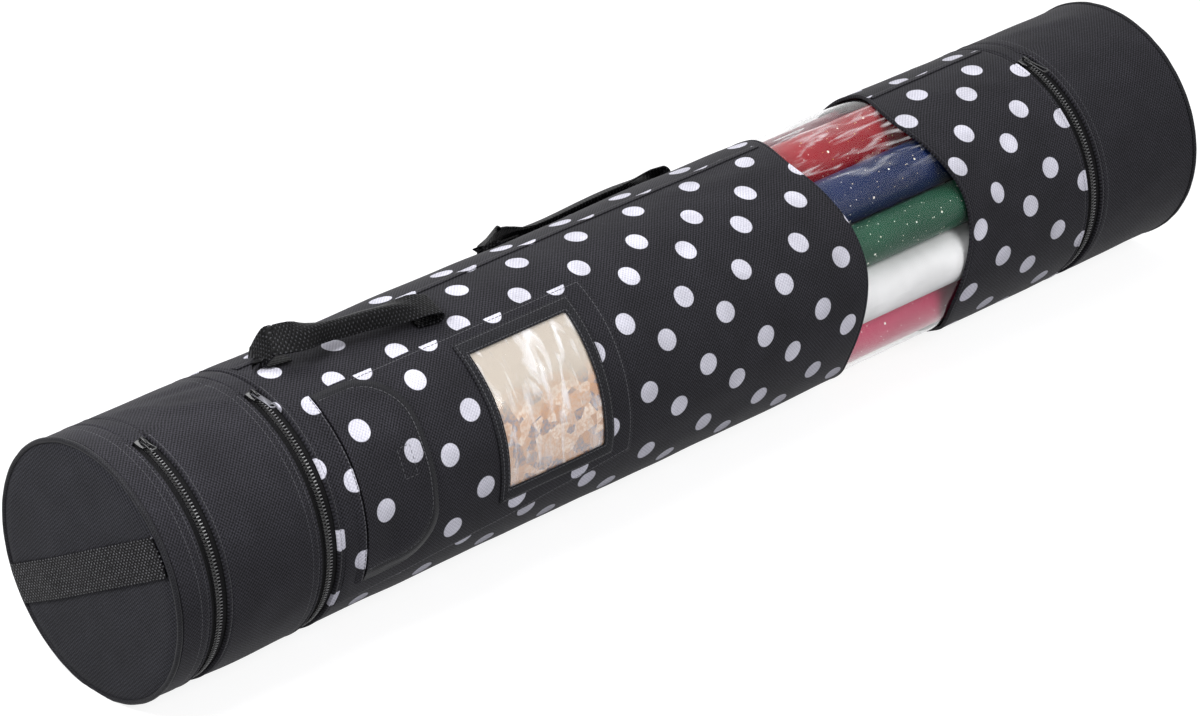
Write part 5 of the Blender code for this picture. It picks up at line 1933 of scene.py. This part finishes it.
@dataclass(frozen=True)
class Slider:
    """Zip slider with its pull lying down the front of the bag.

    Attributes:
        name: start of its solids' names, such as lid_zip.
        body: body of the slider.
        pull_body: body of the pull.
        middle: s of its zip's middle.
        length: length of the pull.
        form: form of the pull.
        finish: finish of the pull.
    """

    name: str
    body: str
    pull_body: str
    middle: float
    length: float
    form: PullForm
    finish: Moulded
    angle: float = 78.8
    body_length: float = 0.0095
    plate: float = 0.0012
    half_width: float = 0.0046
    pull_width: float = 0.0062
    pull_thickness: float = 0.0010
    bridge_hole: float = 0.0020
    top: float = 0.0003

    def build(self) -> None:
        """Make the slider and the pull."""
        self.build_body()
        self.build_pull()

    def build_body(self) -> None:
        """Two shield-shaped plates joined at the nose, with rims round the coils and an arch on top."""
        rim_in, web, base_high, base_low = 0.0034, 0.0003, -0.0044, -0.0055
        right = [(self.half_width, self.top - 0.0004), (self.half_width, -0.0023), (rim_in, -0.0023),
                 (rim_in, self.top - self.plate), (web, self.top - self.plate), (web, base_high),
                 (rim_in, base_high), (rim_in, base_low)]
        left = [(-across, height) for across, height in reversed(right)]
        crown = [(-0.0016, self.top), (0.0016, self.top)]
        profile = [(self.middle + a, TUBE_RADIUS + h) for a, h in right + left[:-1] + [left[-1]] + crown]
        sweep = math.degrees(self.body_length / TUBE_RADIUS)
        shape = spun(profile, self.angle + sweep / 2, sweep, 10)
        for corner in shape.verts:
            angle = angle_of(corner.co)
            share = (self.angle + sweep / 2 - angle) / sweep
            narrow = 1.0 - 0.30 * smooth((share - 0.45) / 0.55) ** 1.3 - 0.12 * smooth((0.12 - share) / 0.12)
            middle_x = along(self.middle)
            corner.co.x = middle_x + (corner.co.x - middle_x) * narrow
        bmesh.ops.recalc_face_normals(shape, faces=shape.faces)
        round_edges(shape, 0.00022, 40.0, 2)
        self.add_arch(shape)
        name = f"{self.name}_slider"
        finish_piece(name, shape, [BLACK_ZINC], self.body, [name], sharp=50.0)

    def add_arch(self, shape: Shape) -> None:
        """Add the arch that holds the pull, as a bent strap of metal."""
        outer, bar, width = 0.0036, 0.0012, 0.0018
        head = self.top + self.bridge_hole + bar
        line = [(-outer, self.top - 0.0005), (-outer, head - 0.0009), (-outer + 0.0009, head), (outer - 0.0009, head),
                (outer, head - 0.0009), (outer, self.top - 0.0005), (outer - bar, self.top - 0.0005),
                (outer - bar, head - bar - 0.0003), (outer - bar - 0.0003, head - bar),
                (-outer + bar + 0.0003, head - bar), (-outer + bar, head - bar - 0.0003),
                (-outer + bar, self.top - 0.0005)]
        arch = bmesh.new()
        arch.faces.new([arch.verts.new((-width / 2, y, h)) for y, h in line])
        made = bmesh.ops.extrude_face_region(arch, geom=list(arch.faces), use_keep_orig=True)
        lifted = [item for item in made["geom"] if isinstance(item, bmesh.types.BMVert)]
        bmesh.ops.translate(arch, verts=lifted, vec=(width, 0.0, 0.0))
        bmesh.ops.recalc_face_normals(arch, faces=arch.faces)
        round_edges(arch, 0.00025, 50.0, 2)
        for corner in arch.verts:
            turn = self.angle + math.degrees(corner.co.y / TUBE_RADIUS)
            corner.co = polar(self.middle + corner.co.x, turn, TUBE_RADIUS + corner.co.z)
        join(shape, arch)

    def build_pull(self) -> None:
        """Flat die-cast pull hung on the arch."""
        half, root = self.pull_width / 2, self.pull_thickness / 2
        if self.form is PullForm.OPEN_FRAME:
            shape = self.open_pull(half, root)
        else:
            shape = self.eye_pull(half, root)
        thicken(shape, -root, root)
        bmesh.ops.recalc_face_normals(shape, faces=shape.faces)
        round_edges(shape, 0.00024, 50.0, 2)
        droop = math.asin((self.bridge_hole - self.pull_thickness) / self.body_length)
        turn = Matrix.Rotation(-droop, 3, "X")
        out = radial(self.angle)
        down = turn @ Vector((1.0, 0.0, 0.0)).cross(out)
        out = turn @ out
        basis = Matrix((Vector((1.0, 0.0, 0.0)), down, out)).transposed().to_4x4()
        place = polar(self.middle, self.angle, TUBE_RADIUS + self.top + self.bridge_hole / 2)
        bmesh.ops.transform(shape, matrix=Matrix.Translation(place) @ basis, verts=shape.verts)
        name = f"{self.name}_pull"
        finish_piece(name, shape, [self.finish], self.pull_body, [name], sharp=50.0)

    def open_pull(self, half: float, root: float) -> Shape:
        """Outline of an open frame that widens towards its squared tip."""
        waist = half * 0.66
        outer = [(-waist, -root), (waist, -root), (waist + 0.0002, self.length * 0.45), (half, self.length - 0.0016),
                 (half - 0.0010, self.length), (-half + 0.0010, self.length), (-half, self.length - 0.0016),
                 (-waist - 0.0002, self.length * 0.45)]
        arm = 0.0011
        inner = [(-waist + arm, root + 0.0002), (waist - arm, root + 0.0002),
                 (waist + 0.0002 - arm, self.length * 0.45),
                 (half - arm, self.length - 0.0024), (half - arm - 0.0006, self.length - 0.0016),
                 (-half + arm + 0.0006, self.length - 0.0016), (-half + arm, self.length - 0.0024),
                 (-waist - 0.0002 + arm, self.length * 0.45)]
        return flat_patch(outer, inner)

    def eye_pull(self, half: float, root: float) -> Shape:
        """Outline of a slim bar with a window at its root and a round eye in its tip."""
        slim = half * 0.80
        tip = [(half * math.cos(math.radians(a)), self.length - half + half * math.sin(math.radians(a)))
               for a in range(-30, 211, 16)]
        neck = self.length - 2.0 * half
        outer = [(-slim, -root), (slim, -root), (slim, neck), *tip, (-slim, neck)]
        arm = 0.0010
        window = [(-slim + arm, root), (slim - arm, root), (slim - arm, root + 0.0048), (-slim + arm, root + 0.0048)]
        shape = bmesh.new()
        edges = []
        hole = 0.0015
        eye = [(hole * math.cos(math.tau * i / 16), self.length - half + hole * math.sin(math.tau * i / 16))
               for i in range(16)]
        for outline in (outer, window, eye):
            ring = [shape.verts.new((x, y, 0.0)) for x, y in outline]
            edges += [shape.edges.new((ring[i - 1], ring[i])) for i in range(len(ring))]
        bmesh.ops.triangle_fill(shape, use_beauty=True, use_dissolve=True, edges=edges)
        return shape


def join(shape: Shape, other: Shape) -> None:
    """Put a second shape into the first, and free it."""
    mesh = bpy.data.meshes.new("part")
    other.to_mesh(mesh)
    other.free()
    shape.from_mesh(mesh)
    bpy.data.meshes.remove(mesh)


@dataclass
class Fittings:
    """Handles, sliders and the raised seam along the top."""

    def build(self) -> None:
        """Make the fittings."""
        Handle("carry_handle", start=BODY_START + 0.0200, length=0.1440, near_angle=96.0, far_angle=81.0,
               base=0.0014, arch=0.0200, lean=42.0, roll=38.0, crease=50.0, skew=0.48, dip=0.45).build()
        Handle("back_handle", start=WINDOW_START - 0.2290, length=0.1900, near_angle=138.0, far_angle=147.0,
               base=0.0003, arch=0.0115, lean=-75.0, roll=-10.0, crease=38.0).build()
        Slider("lid_zip", "lid_slider", "lid_pull", LID_ZIP, 0.0130, PullForm.OPEN_FRAME, BLACK_ZINC).build()
        Slider("near_zip", "near_slider", "near_pull", NEAR_ZIP, 0.0225, PullForm.EYE, GREY_ZINC).build()
        Slider("far_zip", "far_slider", "far_pull", FAR_ZIP, 0.0225, PullForm.OPEN_FRAME, BLACK_ZINC).build()
        self.build_seam("top_seam_near", 0.1490, 0.6610, NEAR_OXFORD)
        self.build_seam("top_seam_far", 0.7845, 0.9070, FAR_OXFORD)

    def build_seam(self, name: str, start: float, end: float, cloth: Cloth) -> None:
        """Lapped seam: the strip that the front cloth's folded edge covers."""
        strip = cut_cloth(box_outline(start, end, SEAM_ANGLE - 2.0, SEAM_ANGLE + 2.4),
                          (0.0070, 0.0009), (0.0003, 0.0012))
        round_edges(strip, 0.0003)
        wrap(strip, self.seam_drop)
        finish_piece(name, strip, [cloth], "tube", [name])

    def seam_drop(self, _s: float, angle: float) -> float:
        """How far the strip lies under the front cloth's folded edge."""
        return -0.0008 * smooth((angle - SEAM_ANGLE) / 2.2)


# Staging


def build_camera() -> None:
    """Place the camera where the photograph was taken."""
    camera = bpy.data.objects.new("camera", bpy.data.cameras.new("camera"))
    camera.data.lens = CAMERA_LENS
    camera.data.sensor_width = CAMERA_SENSOR
    camera.location = CAMERA_PLACE
    camera.rotation_euler = Vector(CAMERA_AIM).to_track_quat("-Z", "Y").to_euler()
    bpy.context.scene.collection.objects.link(camera)
    bpy.context.scene.camera = camera


@dataclass(frozen=True)
class Studio:
    """Plain white studio: a pale floor, a white surround and large soft lamps."""

    floor_size: float = 14.0
    world_level: float = 0.34

    def build(self) -> None:
        """Make the floor, the surround and the lamps."""
        shape = bmesh.new()
        bmesh.ops.create_grid(shape, x_segments=1, y_segments=1, size=self.floor_size / 2)
        mesh = bpy.data.meshes.new("floor")
        shape.to_mesh(mesh)
        shape.free()
        made, tree, output = new_material("white_studio_floor")
        path = add_node(tree, "ShaderNodeLightPath")
        seen = combine(tree, "MAXIMUM", path.outputs["Is Camera Ray"],
                       combine(tree, "MAXIMUM", path.outputs["Is Glossy Ray"], path.outputs["Is Transmission Ray"]))
        paint = add_node(tree, "ShaderNodeBsdfPrincipled", {
            "Base Color": linear("#8a8a8c"), "Roughness": 0.8, "Specular IOR Level": 0.1,
            "Emission Color": (1.0, 1.0, 1.0, 1.0), "Emission Strength": combine(tree, "MULTIPLY", seen, 0.86),
        })
        tree.links.new(paint.outputs[0], output.inputs[0])
        mesh.materials.append(made)
        floor = bpy.data.objects.new("floor", mesh)
        bpy.context.scene.collection.objects.link(floor)
        self.surround()
        self.lamp("key_lamp", (0.1, 1.0, 2.7), (0.0, 0.0, 0.1), 2.2, 60.0)
        self.lamp("left_lamp", (-0.95, -0.1, 0.80), (-0.52, 0.0, 0.16), 0.34, 8.0)
        self.lamp("front_lamp", (0.7, -2.7, 2.1), (0.2, 0.0, 0.1), 1.8, 58.0)

    def surround(self) -> None:
        """White world that lights the object only mildly."""
        world = bpy.data.worlds.new("studio")
        world.use_nodes = True
        tree = world.node_tree
        tree.nodes.clear()
        output = add_node(tree, "ShaderNodeOutputWorld")
        path = add_node(tree, "ShaderNodeLightPath")
        seen = combine(tree, "MAXIMUM", path.outputs["Is Camera Ray"],
                       combine(tree, "MAXIMUM", path.outputs["Is Glossy Ray"], path.outputs["Is Transmission Ray"]))
        level = ramp(tree, seen, 0.0, 1.0, self.world_level, 1.0)
        back = add_node(tree, "ShaderNodeBackground", {"Color": (1.0, 1.0, 1.0, 1.0), "Strength": level})
        tree.links.new(back.outputs[0], output.inputs[0])
        bpy.context.scene.world = world

    def lamp(self, name: str, place: tuple, aim: tuple, size: float, power: float) -> None:
        """One large soft lamp."""
        light = bpy.data.lights.new(name, "AREA")
        light.shape = "DISK"
        light.size = size
        light.energy = power
        stand = bpy.data.objects.new(name, light)
        stand.location = place
        stand.rotation_euler = (Vector(aim) - Vector(place)).to_track_quat("-Z", "Y").to_euler()
        bpy.context.scene.collection.objects.link(stand)


def main() -> None:
    """Build the scene in order."""
    logging.basicConfig(level=logging.INFO, format="%(message)s")
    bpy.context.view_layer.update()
    build_camera()
    bpy.context.scene.view_settings.view_transform = "Standard"
    Studio().build()
    for assembly in (Tube(), Lid(), Section(), FarCap(), Pocket(), Fittings()):
        LOG.info("building %s", type(assembly).__name__)
        assembly.build()


if __name__ == "__main__":
    main()
